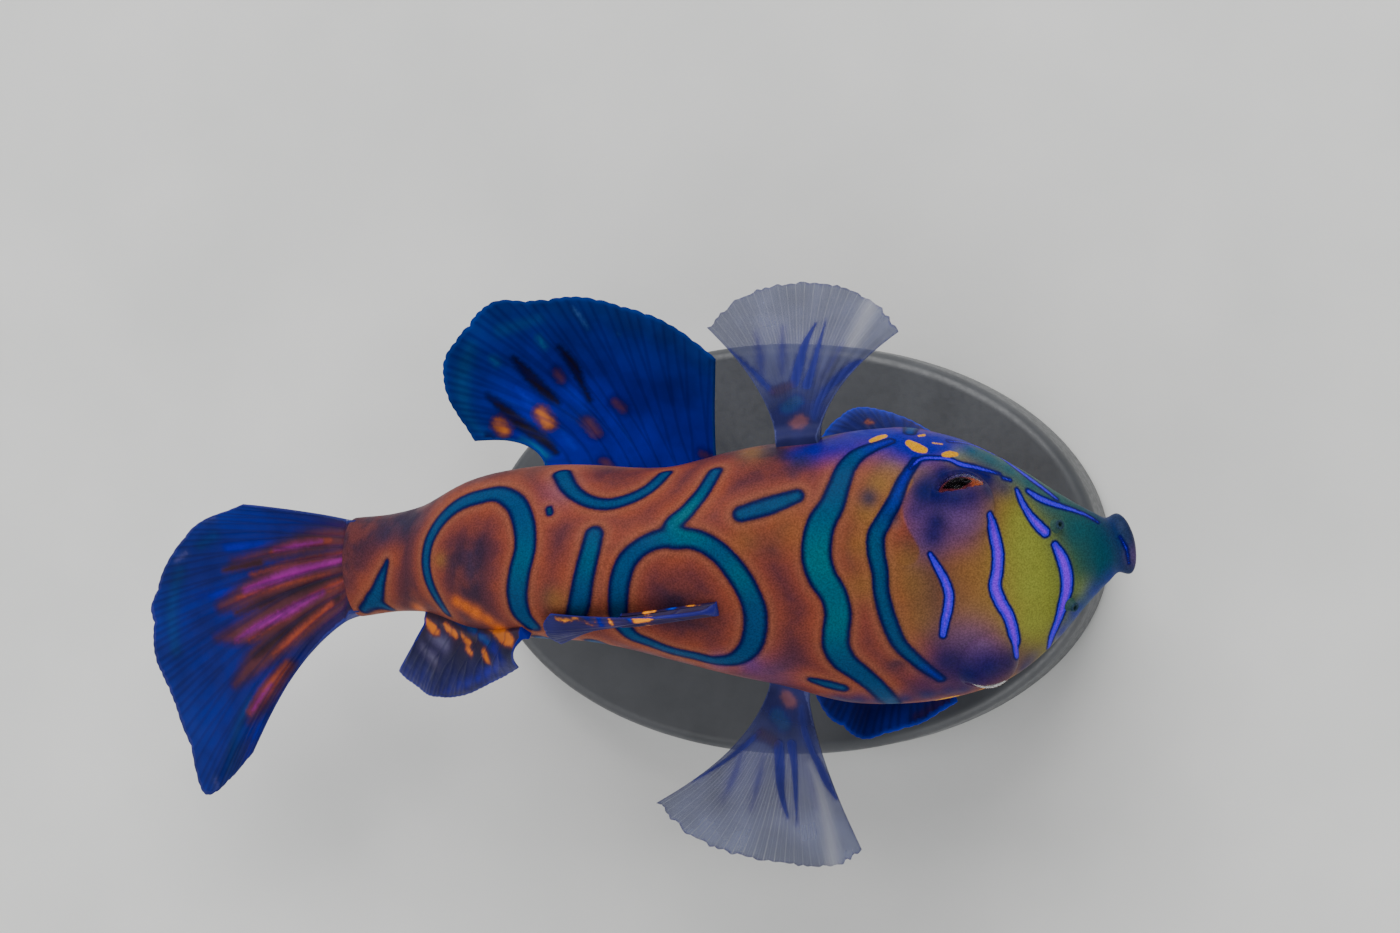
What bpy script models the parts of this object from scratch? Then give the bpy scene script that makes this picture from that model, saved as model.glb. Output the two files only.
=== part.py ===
"""A mandarinfish, life size, turning on its side as it swims, held over an oval base by one rod.

The fish is drawn in a plan, in millimetres: x runs to its snout, y to its left, z up to the eye
that looks down on it. The plan is then tipped nose down and lifted over the base.
"""
import math

import bmesh
import bpy
import numpy as np
from mathutils import Matrix, Vector
from mathutils.bvhtree import BVHTree

MM = 0.001
GAP = 0.3                      # left between two pieces that touch

# How the plan lies over the base
NOSE_DOWN = math.radians(18)
PLAN_HEIGHT = 23.0             # of the plan's origin over the floor
VIEW_DISTANCE = 300.0          # from which the plan was drawn
VIEW_AXIS = (1.24, 6.42)       # the plan's point straight below the eye

# Stations run along the body from the snout. Each has the middle of the body in the plan.
BODY_LINE = (                  # station, x, y, z
    (0.0, 27.9, 1.7, -1.6),
    (3.9, 24.0, 1.2, -0.6),
    (8.9, 19.0, 0.7, 0.0),
    (14.9, 13.0, 0.2, 0.3),
    (21.9, 6.0, 0.4, 0.2),
    (27.9, 0.0, 0.5, -0.2),
    (34.2, -6.0, 1.1, -1.4),
    (39.9, -11.0, 1.1, -4.2),
    (46.1, -15.5, 0.7, -8.4),
    (52.1, -19.8, 0.2, -12.6),
)
TWIST = (                      # station, roll of the back to the right, turn of the head
    (0.0, 16.0, 7.0),
    (8.8, 16.0, 7.0),
    (11.2, 15.5, 4.5),
    (15.5, 16.0, 0.5),
    (20.5, 18.5, 0.0),
    (23.6, 23.0, 0.0),
    (26.7, 29.0, 0.0),
    (30.2, 40.0, 0.0),
    (32.8, 47.0, 0.0),
    (36.5, 60.0, 0.0),
    (39.7, 72.0, 0.0),
    (45.7, 79.0, 0.0),
    (52.1, 83.0, 0.0),
)
SECTIONS = (                   # station, half width, height of back, depth of belly
    (0.0, 1.95, 1.5, 1.5),
    (0.5, 1.95, 1.5, 1.5),
    (1.1, 1.75, 1.45, 1.55),
    (2.0, 2.3, 1.95, 2.2),
    (3.8, 3.75, 2.8, 3.3),
    (5.5, 5.3, 3.7, 4.4),
    (8.8, 7.4, 5.1, 5.9),
    (11.1, 8.0, 5.65, 6.25),
    (13.7, 8.4, 6.0, 6.4),
    (17.0, 8.5, 6.1, 6.4),
    (20.6, 7.75, 6.05, 6.2),
    (23.7, 7.2, 6.0, 6.0),
    (30.5, 5.3, 5.7, 5.7),
    (37.1, 4.3, 5.5, 5.5),
    (41.6, 3.4, 4.8, 4.8),
    (46.3, 2.4, 3.4, 3.4),
    (48.8, 2.0, 3.15, 3.15),
    (52.1, 1.6, 3.2, 3.2),
)
ROUNDNESS = 2.2                # 2 is an ellipse, more is fuller
LIP_STATION = 0.5              # the lips are fullest there, and round off before it
LIP_ROUND = 0.62

# Where the body is parted
HEAD_END = 16.4
TRUNK_END = 36.0
TAIL_END = 52.1

# Eyes, lids, nostrils and mouth
EYE_STATION = 10.4
EYE_ANGLE = math.radians(47.5)  # from the middle of the back
EYE_LIFT = -0.05               # of the eye's centre over the head's plain curve
EYE_RADIUS = 1.88
GAZE_RISE = math.radians(13)   # of the way the eye looks, over straight sideways
EYE_COVER = 0.3                # thickness of the skin that domes over the eye
EYE_OPENING = 1.3              # radius of the hole in the dome that the eye looks through
EYE_OPENING_REACH = 4.0
EYE_BULGE = 0.5                # of the head round the dome's foot
EYE_BULGE_SPREAD = 3.2
EYE_BULGE_EDGE = 4             # more is steeper
LID_RADIUS = 1.6
LID_THICKNESS = 0.3
LID_SINK = 0.1                 # of the lid's ring into the dome over the eye
DOME_GRID = (28, 14)           # sides and rings of that dome
NOSTRIL_STATION = 5.0
NOSTRIL_ANGLE = math.radians(40)
NOSTRIL_RADIUS = 0.32
NOSTRIL_BORE = 0.15
NOSTRIL_HEIGHT = 0.5
NOSTRIL_SINK = 0.5
MOUTH_SLIT = (2.6, 6.0, 0.36)  # length, width and height of the cut between the lips
MOUTH_DROP = 0.15
HEAD_RINGS = 26                # behind the lips
HEAD_SIDES, TRUNK_SIDES, TAIL_SIDES = 46, 36, 28
TRUNK_RINGS, TAIL_RINGS = 17, 14

# Fins
MEMBRANE_HALF = 0.25
MARGIN_HALF = 0.13
RAY_RIDGE = 0.2                # of a ray over the membrane, on each face
RAY_FOOT = 0.2                 # of the way to the next ray
RAY_FADE = 0.65                # how much of the ridge is gone at the ray's tip
RAY_KNEE = 0.4                 # how far along a ray the bend lies
FIN_ROWS = (0.0, 0.07, 0.16, 0.28, 0.42, 0.57, 0.72, 0.87, 1.0)
ROOT_SETTLE = 0.16             # along a ray, where the fin no longer turns to lie on the skin
ROOT_THIN = 0.28               # along a ray, where the root has thinned to the membrane
MARGIN_START = 0.87

# Stand
BASE_SIZE = (42.0, 27.0, 4.0)
BASE_CENTRE = (1.0, 1.0)       # in the plan once it is tipped
BASE_BEVEL = 0.8
ROD_PLACE = (4.0, -1.5)        # from the base's centre
ROD_RADIUS = 1.15
COLLAR = (3.0, 1.6)            # radius and height
ROD_SIDES = 24

COLOURS = {
    "skin": ((0.46, 0.16, 0.05), 0.4),
    "fin": ((0.02, 0.07, 0.42), 0.45),
    "clear_fin": ((0.10, 0.14, 0.32), 0.5),
    "eye": ((0.30, 0.09, 0.02), 0.2),
    "base": ((0.12, 0.12, 0.13), 0.45),
    "rod": ((0.62, 0.63, 0.65), 0.3),
}


def in_plan(x, y, z):
    """A point of the plan, moved out from the eye's axis for its depth."""
    spread = (VIEW_DISTANCE - z) / VIEW_DISTANCE
    return Vector((VIEW_AXIS[0] + (x - VIEW_AXIS[0]) * spread,
                   VIEW_AXIS[1] + (y - VIEW_AXIS[1]) * spread, z))


def smooth_row(table, at):
    """Every column of a table but its first, read along one smooth curve."""
    keys = table[:, 0]
    at = float(np.clip(at, keys[0], keys[-1]))
    i = int(np.clip(np.searchsorted(keys, at, side="right") - 1, 0, len(keys) - 2))
    step = keys[i + 1] - keys[i]
    t = (at - keys[i]) / step
    slope = np.gradient(table[:, 1:], keys, axis=0) * step
    rise = t * t * (3.0 - 2.0 * t)
    return ((1.0 - rise) * table[i, 1:] + rise * table[i + 1, 1:]
            + t * (1.0 - t) ** 2 * slope[i] - t * t * (1.0 - t) * slope[i + 1])


LINE = np.array([(row[0], *in_plan(*row[1:])) for row in BODY_LINE])
TURNS = np.array(TWIST)
SIZES = np.array(SECTIONS)


def body_frame(station):
    """The body's middle there, and its ways forward, up through the back and to its left."""
    reach = 0.4
    middle = Vector(smooth_row(LINE, station))
    forward = Vector(smooth_row(LINE, station - reach)) - Vector(smooth_row(LINE, station + reach))
    roll, turn = (math.radians(v) for v in smooth_row(TURNS, station))
    forward = Matrix.Rotation(turn, 3, "Z") @ forward.normalized()
    up = Vector((0, 0, 1))
    up = (up - forward * up.dot(forward)).normalized()
    left = up.cross(forward)
    back = up * math.cos(roll) - left * math.sin(roll)
    return middle, forward, back, left * math.cos(roll) + up * math.sin(roll)


def plain_radius(station, angle):
    """From the body's middle to its skin, without the bulges round the eyes."""
    width, back, belly = smooth_row(SIZES, station)
    across, upright = math.sin(angle), math.cos(angle)
    depth = back if upright > 0 else belly
    radius = (abs(upright / depth) ** ROUNDNESS + abs(across / width) ** ROUNDNESS)
    radius **= -1.0 / ROUNDNESS
    lip = max(0.0, LIP_STATION - station) / LIP_ROUND
    return radius * math.sqrt(1.0 - lip * lip)


def skin_radius(station, angle):
    radius = plain_radius(station, angle)
    top = plain_radius(EYE_STATION, EYE_ANGLE)
    for side in (1, -1):
        away = math.dist((station, radius * math.sin(angle), radius * math.cos(angle)),
                         (EYE_STATION, side * top * math.sin(EYE_ANGLE), top * math.cos(EYE_ANGLE)))
        radius += EYE_BULGE / (1.0 + (away / EYE_BULGE_SPREAD) ** EYE_BULGE_EDGE)
    return radius


def skin_point(station, angle):
    """On the skin: an angle of 0 is the middle of the back, a right angle is the left side."""
    middle, _, back, left = body_frame(station)
    radius = skin_radius(station, angle)
    return middle + (back * math.cos(angle) + left * math.sin(angle)) * radius


def skin_normal(station, angle):
    step = 0.05
    along = skin_point(station + step, angle) - skin_point(station - step, angle)
    round_it = skin_point(station, angle + step) - skin_point(station, angle - step)
    normal = along.cross(round_it).normalized()
    outward = skin_point(station, angle) - body_frame(station)[0]
    return normal if normal.dot(outward) > 0 else -normal


def over_skin(station, angle, lift):
    return skin_point(station, angle) + skin_normal(station, angle) * lift


def make_object(name, points, faces, finish, parent):
    mesh = bpy.data.meshes.new(name)
    mesh.from_pydata([Vector(p) * MM for p in points], [], faces)
    mesh.validate()
    piece = bpy.data.objects.new(name, mesh)
    bpy.context.collection.objects.link(piece)
    piece.parent = parent
    mesh.shade_smooth()
    mesh.materials.append(finish_of(finish))
    return piece


def finish_of(name):
    if name in bpy.data.materials:
        return bpy.data.materials[name]
    colour, roughness = COLOURS[name]
    material = bpy.data.materials.new(name)
    material.use_nodes = True
    shader = material.node_tree.nodes["Principled BSDF"]
    shader.inputs["Base Color"].default_value = (*colour, 1.0)
    shader.inputs["Roughness"].default_value = roughness
    shader.inputs["Metallic"].default_value = 1.0 if name == "rod" else 0.0
    return material


def loft(name, stations, sides, parent):
    """One closed length of the body, with a flat face at each end."""
    points, faces = [], []
    for station in stations:
        for i in range(sides):
            points.append(skin_point(station, math.tau * i / sides))
    for row in range(len(stations) - 1):
        for i in range(sides):
            a, b = row * sides + i, row * sides + (i + 1) % sides
            faces.append((a, b, b + sides, a + sides))
    last = (len(stations) - 1) * sides
    faces.append(tuple(range(sides))[::-1])
    faces.append(tuple(range(last, last + sides)))
    return face_outward(make_object(name, points, faces, "skin", parent))


def face_outward(piece):
    shape = bmesh.new()
    shape.from_mesh(piece.data)
    bmesh.ops.recalc_face_normals(shape, faces=shape.faces)
    if shape.calc_volume(signed=True) < 0:
        bmesh.ops.reverse_faces(shape, faces=shape.faces)
    shape.to_mesh(piece.data)
    shape.free()
    return piece


def turned(name, profile, sides, place, axis, finish, parent):
    """A closed solid turned round an axis, from (radius, height) pairs, ends on the axis."""
    spin = axis.to_track_quat("Z", "Y")
    points, rings = [], []
    for radius, height in profile:
        if radius == 0:
            rings.append([len(points)] * sides)
            points.append(place + spin @ Vector((0, 0, height)))
            continue
        rings.append(list(range(len(points), len(points) + sides)))
        for i in range(sides):
            angle = math.tau * i / sides
            points.append(place + spin @ Vector((radius * math.cos(angle),
                                                 radius * math.sin(angle), height)))
    faces = []
    for lower, upper in zip(rings, rings[1:]):
        for i in range(sides):
            corners = (lower[i], lower[(i + 1) % sides], upper[(i + 1) % sides], upper[i])
            face = tuple(dict.fromkeys(corners))
            if len(face) > 2:
                faces.append(face)
    return face_outward(make_object(name, points, faces, finish, parent))


def ball(name, place, axis, radius, finish, parent, sides=20, rings=11):
    profile = [(radius * math.sin(math.pi * i / rings) if 0 < i < rings else 0,
                -radius * math.cos(math.pi * i / rings)) for i in range(rings + 1)]
    return turned(name, profile, sides, place, axis, finish, parent)


def ring(name, place, axis, radius, thickness, parent, sides=24, corners=8):
    spin = axis.to_track_quat("Z", "Y")
    points, faces = [], []
    for i in range(sides):
        round_it = math.tau * i / sides
        for k in range(corners):
            about = math.tau * k / corners
            out = radius + thickness * math.cos(about)
            points.append(place + spin @ Vector((out * math.cos(round_it),
                                                 out * math.sin(round_it),
                                                 thickness * math.sin(about))))
            here, ahead = i * corners, (i + 1) % sides * corners
            turn = (k + 1) % corners
            faces.append((here + k, ahead + k, ahead + turn, here + turn))
    return face_outward(make_object(name, points, faces, "skin", parent))


def combine(piece, others, operation):
    """Joins the others to a piece or cuts them from it, and keeps its largest closed surface."""
    group = bpy.data.collections.new("pieces")
    for other in others:
        group.objects.link(other)
    modifier = piece.modifiers.new("combine", "BOOLEAN")
    modifier.operation = operation
    modifier.operand_type = "COLLECTION"
    modifier.collection = group
    modifier.solver = "EXACT"
    bpy.context.view_layer.update()
    seen = piece.evaluated_get(bpy.context.evaluated_depsgraph_get())
    result = bpy.data.meshes.new_from_object(seen)
    piece.modifiers.clear()
    piece.data = result
    for other in others:
        bpy.data.objects.remove(other)
    bpy.data.collections.remove(group)
    keep_largest(piece)


def keep_largest(piece):
    shape = bmesh.new()
    shape.from_mesh(piece.data)
    left_over = set(shape.verts)
    bodies = []
    while left_over:
        body, front = set(), [left_over.pop()]
        while front:
            vert = front.pop()
            body.add(vert)
            for edge in vert.link_edges:
                other = edge.other_vert(vert)
                if other in left_over:
                    left_over.discard(other)
                    front.append(other)
        bodies.append(body)
    largest = max(bodies, key=len)
    spare = [v for body in bodies if body is not largest for v in body]
    bmesh.ops.delete(shape, geom=spare, context="VERTS")
    shape.to_mesh(piece.data)
    shape.free()


def eye_place(side):
    """The centre of an eye and the way it looks; side is 1 for left and -1 for right."""
    middle, _, back, left = body_frame(EYE_STATION)
    across = back * math.cos(EYE_ANGLE) + left * math.sin(EYE_ANGLE) * side
    centre = middle + across * (plain_radius(EYE_STATION, EYE_ANGLE) + EYE_LIFT)
    return centre, back * math.sin(GAZE_RISE) + left * math.cos(GAZE_RISE) * side


def make_head(parent):
    stations = [0.0, 0.12, 0.3, 0.55, 0.85, 1.15, 1.5, 2.0]
    stations += list(np.linspace(2.6, HEAD_END, HEAD_RINGS))
    head = loft("head", stations, HEAD_SIDES, parent)
    added, cut = [], []
    for side in (1, -1):
        centre, gaze = eye_place(side)
        dome = EYE_RADIUS + GAP + EYE_COVER
        added.append(ball("dome", centre, gaze, dome, "skin", parent, *DOME_GRID))
        rim = centre + gaze * math.sqrt((dome - LID_SINK) ** 2 - LID_RADIUS ** 2)
        added.append(ring("lid", rim, gaze, LID_RADIUS, LID_THICKNESS, parent))
        cut.append(ball("socket", centre, gaze, EYE_RADIUS + GAP, "skin", parent))
        hole = ((0, 0), (EYE_OPENING, 0), (EYE_OPENING, EYE_OPENING_REACH),
                (0, EYE_OPENING_REACH))
        cut.append(turned("opening", hole, 24, centre, gaze, "skin", parent))
        angle = side * NOSTRIL_ANGLE
        root = skin_point(NOSTRIL_STATION, angle)
        normal = skin_normal(NOSTRIL_STATION, angle)
        tube = ((0, -NOSTRIL_SINK), (NOSTRIL_RADIUS * 1.3, -NOSTRIL_SINK),
                (NOSTRIL_RADIUS, NOSTRIL_HEIGHT), (0, NOSTRIL_HEIGHT))
        bore = ((0, -0.1), (NOSTRIL_BORE, -0.1), (NOSTRIL_BORE, 1.0), (0, 1.0))
        added.append(turned("nostril", tube, 10, root, normal, "skin", parent))
        cut.append(turned("bore", bore, 8, root, normal, "skin", parent))
    cut.append(mouth_slit(parent))
    combine(head, added, "UNION")
    combine(head, cut, "DIFFERENCE")
    return head


def mouth_slit(parent):
    """A flat cutter that parts the lips from the snout's tip to the corners of the mouth."""
    length, width, height = MOUTH_SLIT
    middle, forward, back, left = body_frame(LIP_STATION)
    centre = middle + forward * LIP_STATION - back * MOUTH_DROP
    points = [centre + forward * (f * length / 2) + left * (s * width / 2) + back * (u * height / 2)
              for f in (-1, 1) for s in (-1, 1) for u in (-1, 1)]
    faces = [(0, 1, 3, 2), (4, 6, 7, 5), (0, 4, 5, 1), (2, 3, 7, 6), (0, 2, 6, 4), (1, 5, 7, 3)]
    return face_outward(make_object("slit", points, faces, "skin", parent))


def ray(root, lead, tip):
    """One fin ray: it leaves the root along its lead and bends to its tip."""
    knee = root + lead.normalized() * (tip - root).length * RAY_KNEE

    def at(t):
        return root * (1 - t) ** 2 + knee * 2 * t * (1 - t) + tip * t * t
    return at


def fin(name, rays, seats, root_half, scallop, finish, parent):
    """A closed fin: rays stand as ridges on both faces of the membrane between them.

    seats holds the skin's normal at each ray's root, so that the root lies flat to the skin.
    """
    columns = []
    for i in range(len(rays)):
        if i:
            columns += [(i - 0.5, 0.0)] if scallop else []
            columns.append((i - RAY_FOOT, 0.0))
        columns.append((float(i), 1.0))
        if i < len(rays) - 1:
            columns.append((i + RAY_FOOT, 0.0))

    def surface(u, t):
        i = min(int(u), len(rays) - 2)
        part = u - i
        reach = 1.0 - scallop * 4.0 * part * (1.0 - part)
        return rays[i](t * reach).lerp(rays[i + 1](t * reach), part)

    def seat(u):
        i = min(int(u), len(rays) - 2)
        return seats[i].lerp(seats[i + 1], u - i).normalized()

    near, far = [], []
    wide, last = 0.3, len(rays) - 1
    for t in FIN_ROWS:
        for u, crest in columns:
            here = surface(u, t)
            across = surface(min(u + wide, last), t) - surface(max(u - wide, 0.0), t)
            along = surface(u, min(t + 0.05, 1.0)) - surface(u, max(t - 0.05, 0.0))
            normal = across.cross(along).normalized()
            flat = seat(u)
            seated = (normal - flat * normal.dot(flat)).normalized()
            offset = seated.lerp(normal, min(t / ROOT_SETTLE, 1.0)).normalized()
            thinned = min(t / ROOT_THIN, 1.0)
            thick = MARGIN_HALF
            if t <= MARGIN_START:
                thick = root_half + (MEMBRANE_HALF - root_half) * thinned
            thick += crest * RAY_RIDGE * thinned * (1.0 - RAY_FADE * t)
            near.append(here + offset * thick)
            far.append(here - offset * thick)

    count, total = len(columns), len(near)
    faces = []
    for row in range(len(FIN_ROWS) - 1):
        for i in range(count - 1):
            a = row * count + i
            b, c, d = a + 1, a + count + 1, a + count
            faces += [(a, b, c), (a, c, d)]
            faces += [(a + total, c + total, b + total), (a + total, d + total, c + total)]
    rim = [i for i in range(count - 1)]
    rim += [row * count + count - 1 for row in range(len(FIN_ROWS) - 1)]
    rim += [total - 1 - i for i in range(count - 1)]
    rim += [row * count for row in range(len(FIN_ROWS) - 1, 0, -1)]
    for a, b in zip(rim, rim[1:] + rim[:1]):
        faces += [(a, a + total, b + total), (a, b + total, b)]
    return face_outward(make_object(name, near + far, faces, finish, parent))


def spread(values, count):
    """As many values as the fin has rays, read evenly along a short hand-drawn row."""
    values = np.array(values, dtype=float)
    table = np.column_stack((np.arange(len(values)), values.reshape(len(values), -1)))
    return [smooth_row(table, at) for at in np.linspace(0, len(values) - 1, count)]


def make_caudal(parent):
    """The tail fin, ten rays fanned over the end of the tail, seen here from its left."""
    tips = ((-27.2, 4.1, -17.0), (-30.6, 2.3, -19.2), (-32.6, -1.6, -21.4), (-32.5, -5.4, -22.0),
            (-30.9, -9.0, -22.0), (-29.3, -13.9, -21.6), (-26.5, -11.4, -20.8))
    count, root_reach = 10, 0.93
    middle, forward, back, _ = body_frame(TAIL_END)
    depth = smooth_row(SIZES, TAIL_END)[1]
    rays = []
    for i, tip in enumerate(spread(tips, count)):
        height = (2.0 * i / (count - 1) - 1.0) * depth * root_reach
        root = middle - forward * GAP + back * height
        lead = -forward + back * height * 0.09
        rays.append(ray(root, lead, in_plan(*tip)))
    fin("caudal_fin", rays, [forward] * count, 0.85, 0.025, "fin", parent)


def along_midline(first, last, count, angle, tips, leads):
    """Rays rooted in a row along the back or the belly."""
    rays, seats = [], []
    for i, tip in enumerate(spread(tips, count)):
        station = first + (last - first) * i / (count - 1)
        normal = skin_normal(station, angle)
        forward = body_frame(station)[1]
        lead = normal * leads[0] - forward * leads[1]
        rays.append(ray(over_skin(station, angle, GAP), lead, in_plan(*tip)))
        seats.append(normal)
    return rays, seats


def make_anal(parent):
    """The large fin under the tail, fanned out wide, eight rays from front to rear."""
    tips = ((2.2, 13.0, -4.6), (-1.6, 15.8, -5.4), (-5.5, 16.9, -6.2), (-9.4, 16.9, -7.0),
            (-12.6, 15.9, -7.6), (-14.4, 13.2, -8.2), (-14.2, 10.4, -8.8), (-12.7, 8.0, -9.2))
    rays, seats = along_midline(25.0, 38.0, 8, math.pi, tips, (1.0, 0.35))
    fin("anal_fin", rays, seats, 0.42, 0.035, "fin", parent)


def make_dorsals(parent):
    """The first, folded along the back, and the second, half raised towards the tail."""
    folded = ((-8.0, -2.7, 2.9), (-8.4, -3.4, 2.3), (-8.2, -4.1, 1.6), (-7.4, -4.6, 0.9))
    rays, seats = along_midline(25.2, 30.4, 4, 0.0, folded, (0.5, 0.95))
    fin("dorsal_fin_first", rays, seats, 0.4, 0.03, "fin", parent)
    raised = ((-10.0, -6.0, -3.6), (-12.1, -7.2, -6.0), (-14.4, -7.9, -8.6), (-16.0, -7.5, -10.9),
              (-17.4, -6.2, -12.6))
    rays, seats = along_midline(36.6, 46.0, 8, 0.0, raised, (0.9, 0.6))
    fin("dorsal_fin_second", rays, seats, 0.42, 0.04, "fin", parent)


def side_fin(name, roots, tips, count, lead_ways, root_half, scallop, finish, parent):
    """A paired fin: roots holds its first and last (station, angle), lead_ways how those rays lean."""
    rays, seats = [], []
    for i, tip in enumerate(spread(tips, count)):
        station, angle = (a + (b - a) * i / (count - 1) for a, b in zip(*roots))
        normal = skin_normal(station, angle)
        lead = normal + Vector(lead_ways[0]).lerp(Vector(lead_ways[1]), i / (count - 1))
        rays.append(ray(over_skin(station, angle, GAP), lead, in_plan(*tip)))
        seats.append(normal)
    fin(name, rays, seats, root_half, scallop, finish, parent)


def make_pectorals(parent):
    """Wide clear fans behind the head, on a short fleshy base."""
    front, rear = math.radians(266), math.radians(261)
    tips = ((11.3, -17.4, -4.6), (9.6, -18.3, -5.6), (6.9, -18.2, -6.6), (3.4, -17.6, -7.2),
            (0.6, -16.4, -7.4), (-1.4, -14.4, -7.2))
    ways = ((0.5, -0.9, 0.3), (-0.1, -0.9, 0.3))
    side_fin("pectoral_fin_right", ((19.6, front), (22.0, rear)), tips, 11, ways, 0.7,
             0.0, "clear_fin", parent)
    tips = ((13.6, 14.8, 4.4), (12.0, 16.6, 4.2), (9.3, 17.7, 3.6), (6.2, 17.7, 2.8),
            (3.6, 16.8, 2.0), (1.7, 15.0, 1.2))
    ways = ((0.5, 0.9, 0), (-0.1, 0.9, 0))
    side_fin("pectoral_fin_left", ((19.6, -front), (22.0, -rear)), tips, 11, ways, 0.7,
             0.0, "clear_fin", parent)


def make_pelvics(parent):
    """Broad fins that hang from the throat, just behind the head's widest part."""
    front, rear = math.radians(222), math.radians(216)
    tips = ((17.2, -8.1, -6.6), (14.6, -9.6, -7.4), (11.8, -10.4, -8.4), (9.9, -9.7, -9.4),
            (8.4, -7.6, -10.6), (7.2, -4.9, -11.8))
    ways = ((-0.5, -0.5, 0),) * 2
    side_fin("pelvic_fin_right", ((11.4, front), (15.4, rear)), tips, 7, ways, 0.6,
             0.03, "fin", parent)
    tips = ((16.8, 7.9, -7.4), (14.2, 9.3, -8.0), (11.5, 10.1, -9.0), (9.8, 9.4, -10.0),
            (8.3, 7.4, -11.2), (7.2, 4.9, -12.2))
    ways = ((-0.5, 0.5, 0),) * 2
    side_fin("pelvic_fin_left", ((11.4, -front), (15.4, -rear)), tips, 7, ways, 0.6,
             0.03, "fin", parent)


def make_stand(pose, flesh):
    """An oval base and a rod whose top follows the belly just under it."""
    length, width, height = BASE_SIZE
    shape = bmesh.new()
    bmesh.ops.create_cone(shape, cap_ends=True, segments=48, radius1=1.0, radius2=1.0, depth=1.0)
    bmesh.ops.scale(shape, verts=shape.verts, vec=Vector((length / 2, width / 2, height)) * MM)
    bmesh.ops.translate(shape, verts=shape.verts, vec=Vector((0, 0, height / 2)) * MM)
    mesh = bpy.data.meshes.new("stand_base")
    shape.to_mesh(mesh)
    shape.free()
    mesh.materials.append(finish_of("base"))
    base = bpy.data.objects.new("stand_base", mesh)
    bpy.context.collection.objects.link(base)
    bevel = base.modifiers.new("edges", "BEVEL")
    bevel.width = BASE_BEVEL * MM
    bevel.segments = 2
    bevel.limit_method = "ANGLE"

    belly = BVHTree.FromPolygons([pose @ v.co for v in flesh.data.vertices],
                                 [tuple(p.vertices) for p in flesh.data.polygons])

    def under_belly(x, y):
        hit = belly.ray_cast(Vector((x, y, 0)) * MM, Vector((0, 0, 1)))[0]
        return hit.z / MM - GAP

    x, y = ROD_PLACE
    points = []
    rows = ((COLLAR[0], height + GAP), (COLLAR[0], height + GAP + COLLAR[1] * 0.6),
            (COLLAR[0] - 0.6, height + GAP + COLLAR[1]), (ROD_RADIUS, height + GAP + COLLAR[1]))
    for radius, z in rows + ((ROD_RADIUS, None),):
        for i in range(ROD_SIDES):
            angle = math.tau * i / ROD_SIDES
            spot = (x + radius * math.cos(angle), y + radius * math.sin(angle))
            points.append((*spot, under_belly(*spot) if z is None else z))
    points += [(x, y, height + GAP), (x, y, under_belly(x, y))]
    faces = []
    for row in range(len(rows)):
        for i in range(ROD_SIDES):
            a, b = row * ROD_SIDES + i, row * ROD_SIDES + (i + 1) % ROD_SIDES
            faces.append((a, b, b + ROD_SIDES, a + ROD_SIDES))
    top = len(rows) * ROD_SIDES
    for i in range(ROD_SIDES):
        ahead = (i + 1) % ROD_SIDES
        faces += [(ahead, i, len(points) - 2), (top + i, top + ahead, len(points) - 1)]
    rod = face_outward(make_object("stand_rod", points, faces, "rod", None))
    rod.data.set_sharp_from_angle(angle=math.radians(35))


def main():
    for old in list(bpy.data.objects):
        bpy.data.objects.remove(old)
    pose = bpy.data.objects.new("fish_pose", None)
    bpy.context.collection.objects.link(pose)
    pose.rotation_euler = (0, NOSE_DOWN, 0)
    pose.location = Vector((-BASE_CENTRE[0], -BASE_CENTRE[1], PLAN_HEIGHT)) * MM
    bpy.context.view_layer.update()

    make_head(pose)
    trunk_rings = list(np.linspace(HEAD_END + GAP, TRUNK_END, TRUNK_RINGS))
    trunk = loft("trunk", trunk_rings, TRUNK_SIDES, pose)
    loft("tail_stalk", list(np.linspace(TRUNK_END + GAP, TAIL_END, TAIL_RINGS)), TAIL_SIDES, pose)
    for side, name in ((1, "eye_left"), (-1, "eye_right")):
        centre, gaze = eye_place(side)
        ball(name, centre, gaze, EYE_RADIUS, "eye", pose)
    make_caudal(pose)
    make_anal(pose)
    make_dorsals(pose)
    make_pectorals(pose)
    make_pelvics(pose)
    make_stand(pose.matrix_world, trunk)


main()
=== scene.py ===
import math

import bpy
import numpy as np
from mathutils import Matrix, Vector
from mathutils.bvhtree import BVHTree


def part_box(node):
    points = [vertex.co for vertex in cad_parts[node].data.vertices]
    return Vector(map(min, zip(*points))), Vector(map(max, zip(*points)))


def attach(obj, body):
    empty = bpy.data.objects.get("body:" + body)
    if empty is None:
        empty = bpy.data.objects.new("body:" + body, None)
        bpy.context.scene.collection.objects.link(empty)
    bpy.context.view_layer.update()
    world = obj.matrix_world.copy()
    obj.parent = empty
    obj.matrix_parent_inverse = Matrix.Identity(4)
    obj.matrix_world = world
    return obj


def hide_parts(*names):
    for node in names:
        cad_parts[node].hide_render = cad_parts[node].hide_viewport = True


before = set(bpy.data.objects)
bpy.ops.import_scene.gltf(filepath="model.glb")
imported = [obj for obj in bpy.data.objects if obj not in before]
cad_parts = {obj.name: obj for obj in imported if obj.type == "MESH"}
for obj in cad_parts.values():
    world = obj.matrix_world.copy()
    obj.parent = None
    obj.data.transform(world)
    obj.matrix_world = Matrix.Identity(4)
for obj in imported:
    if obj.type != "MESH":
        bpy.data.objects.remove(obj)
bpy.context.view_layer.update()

# Camera
# The fish is drawn on a plan in millimetres: x runs to its snout, y to its left, z up to the lens
# 300 mm over it. The plan is tipped nose down over the base, and the picture is 1400 by 933 pixels.
MM = 0.001
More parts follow.
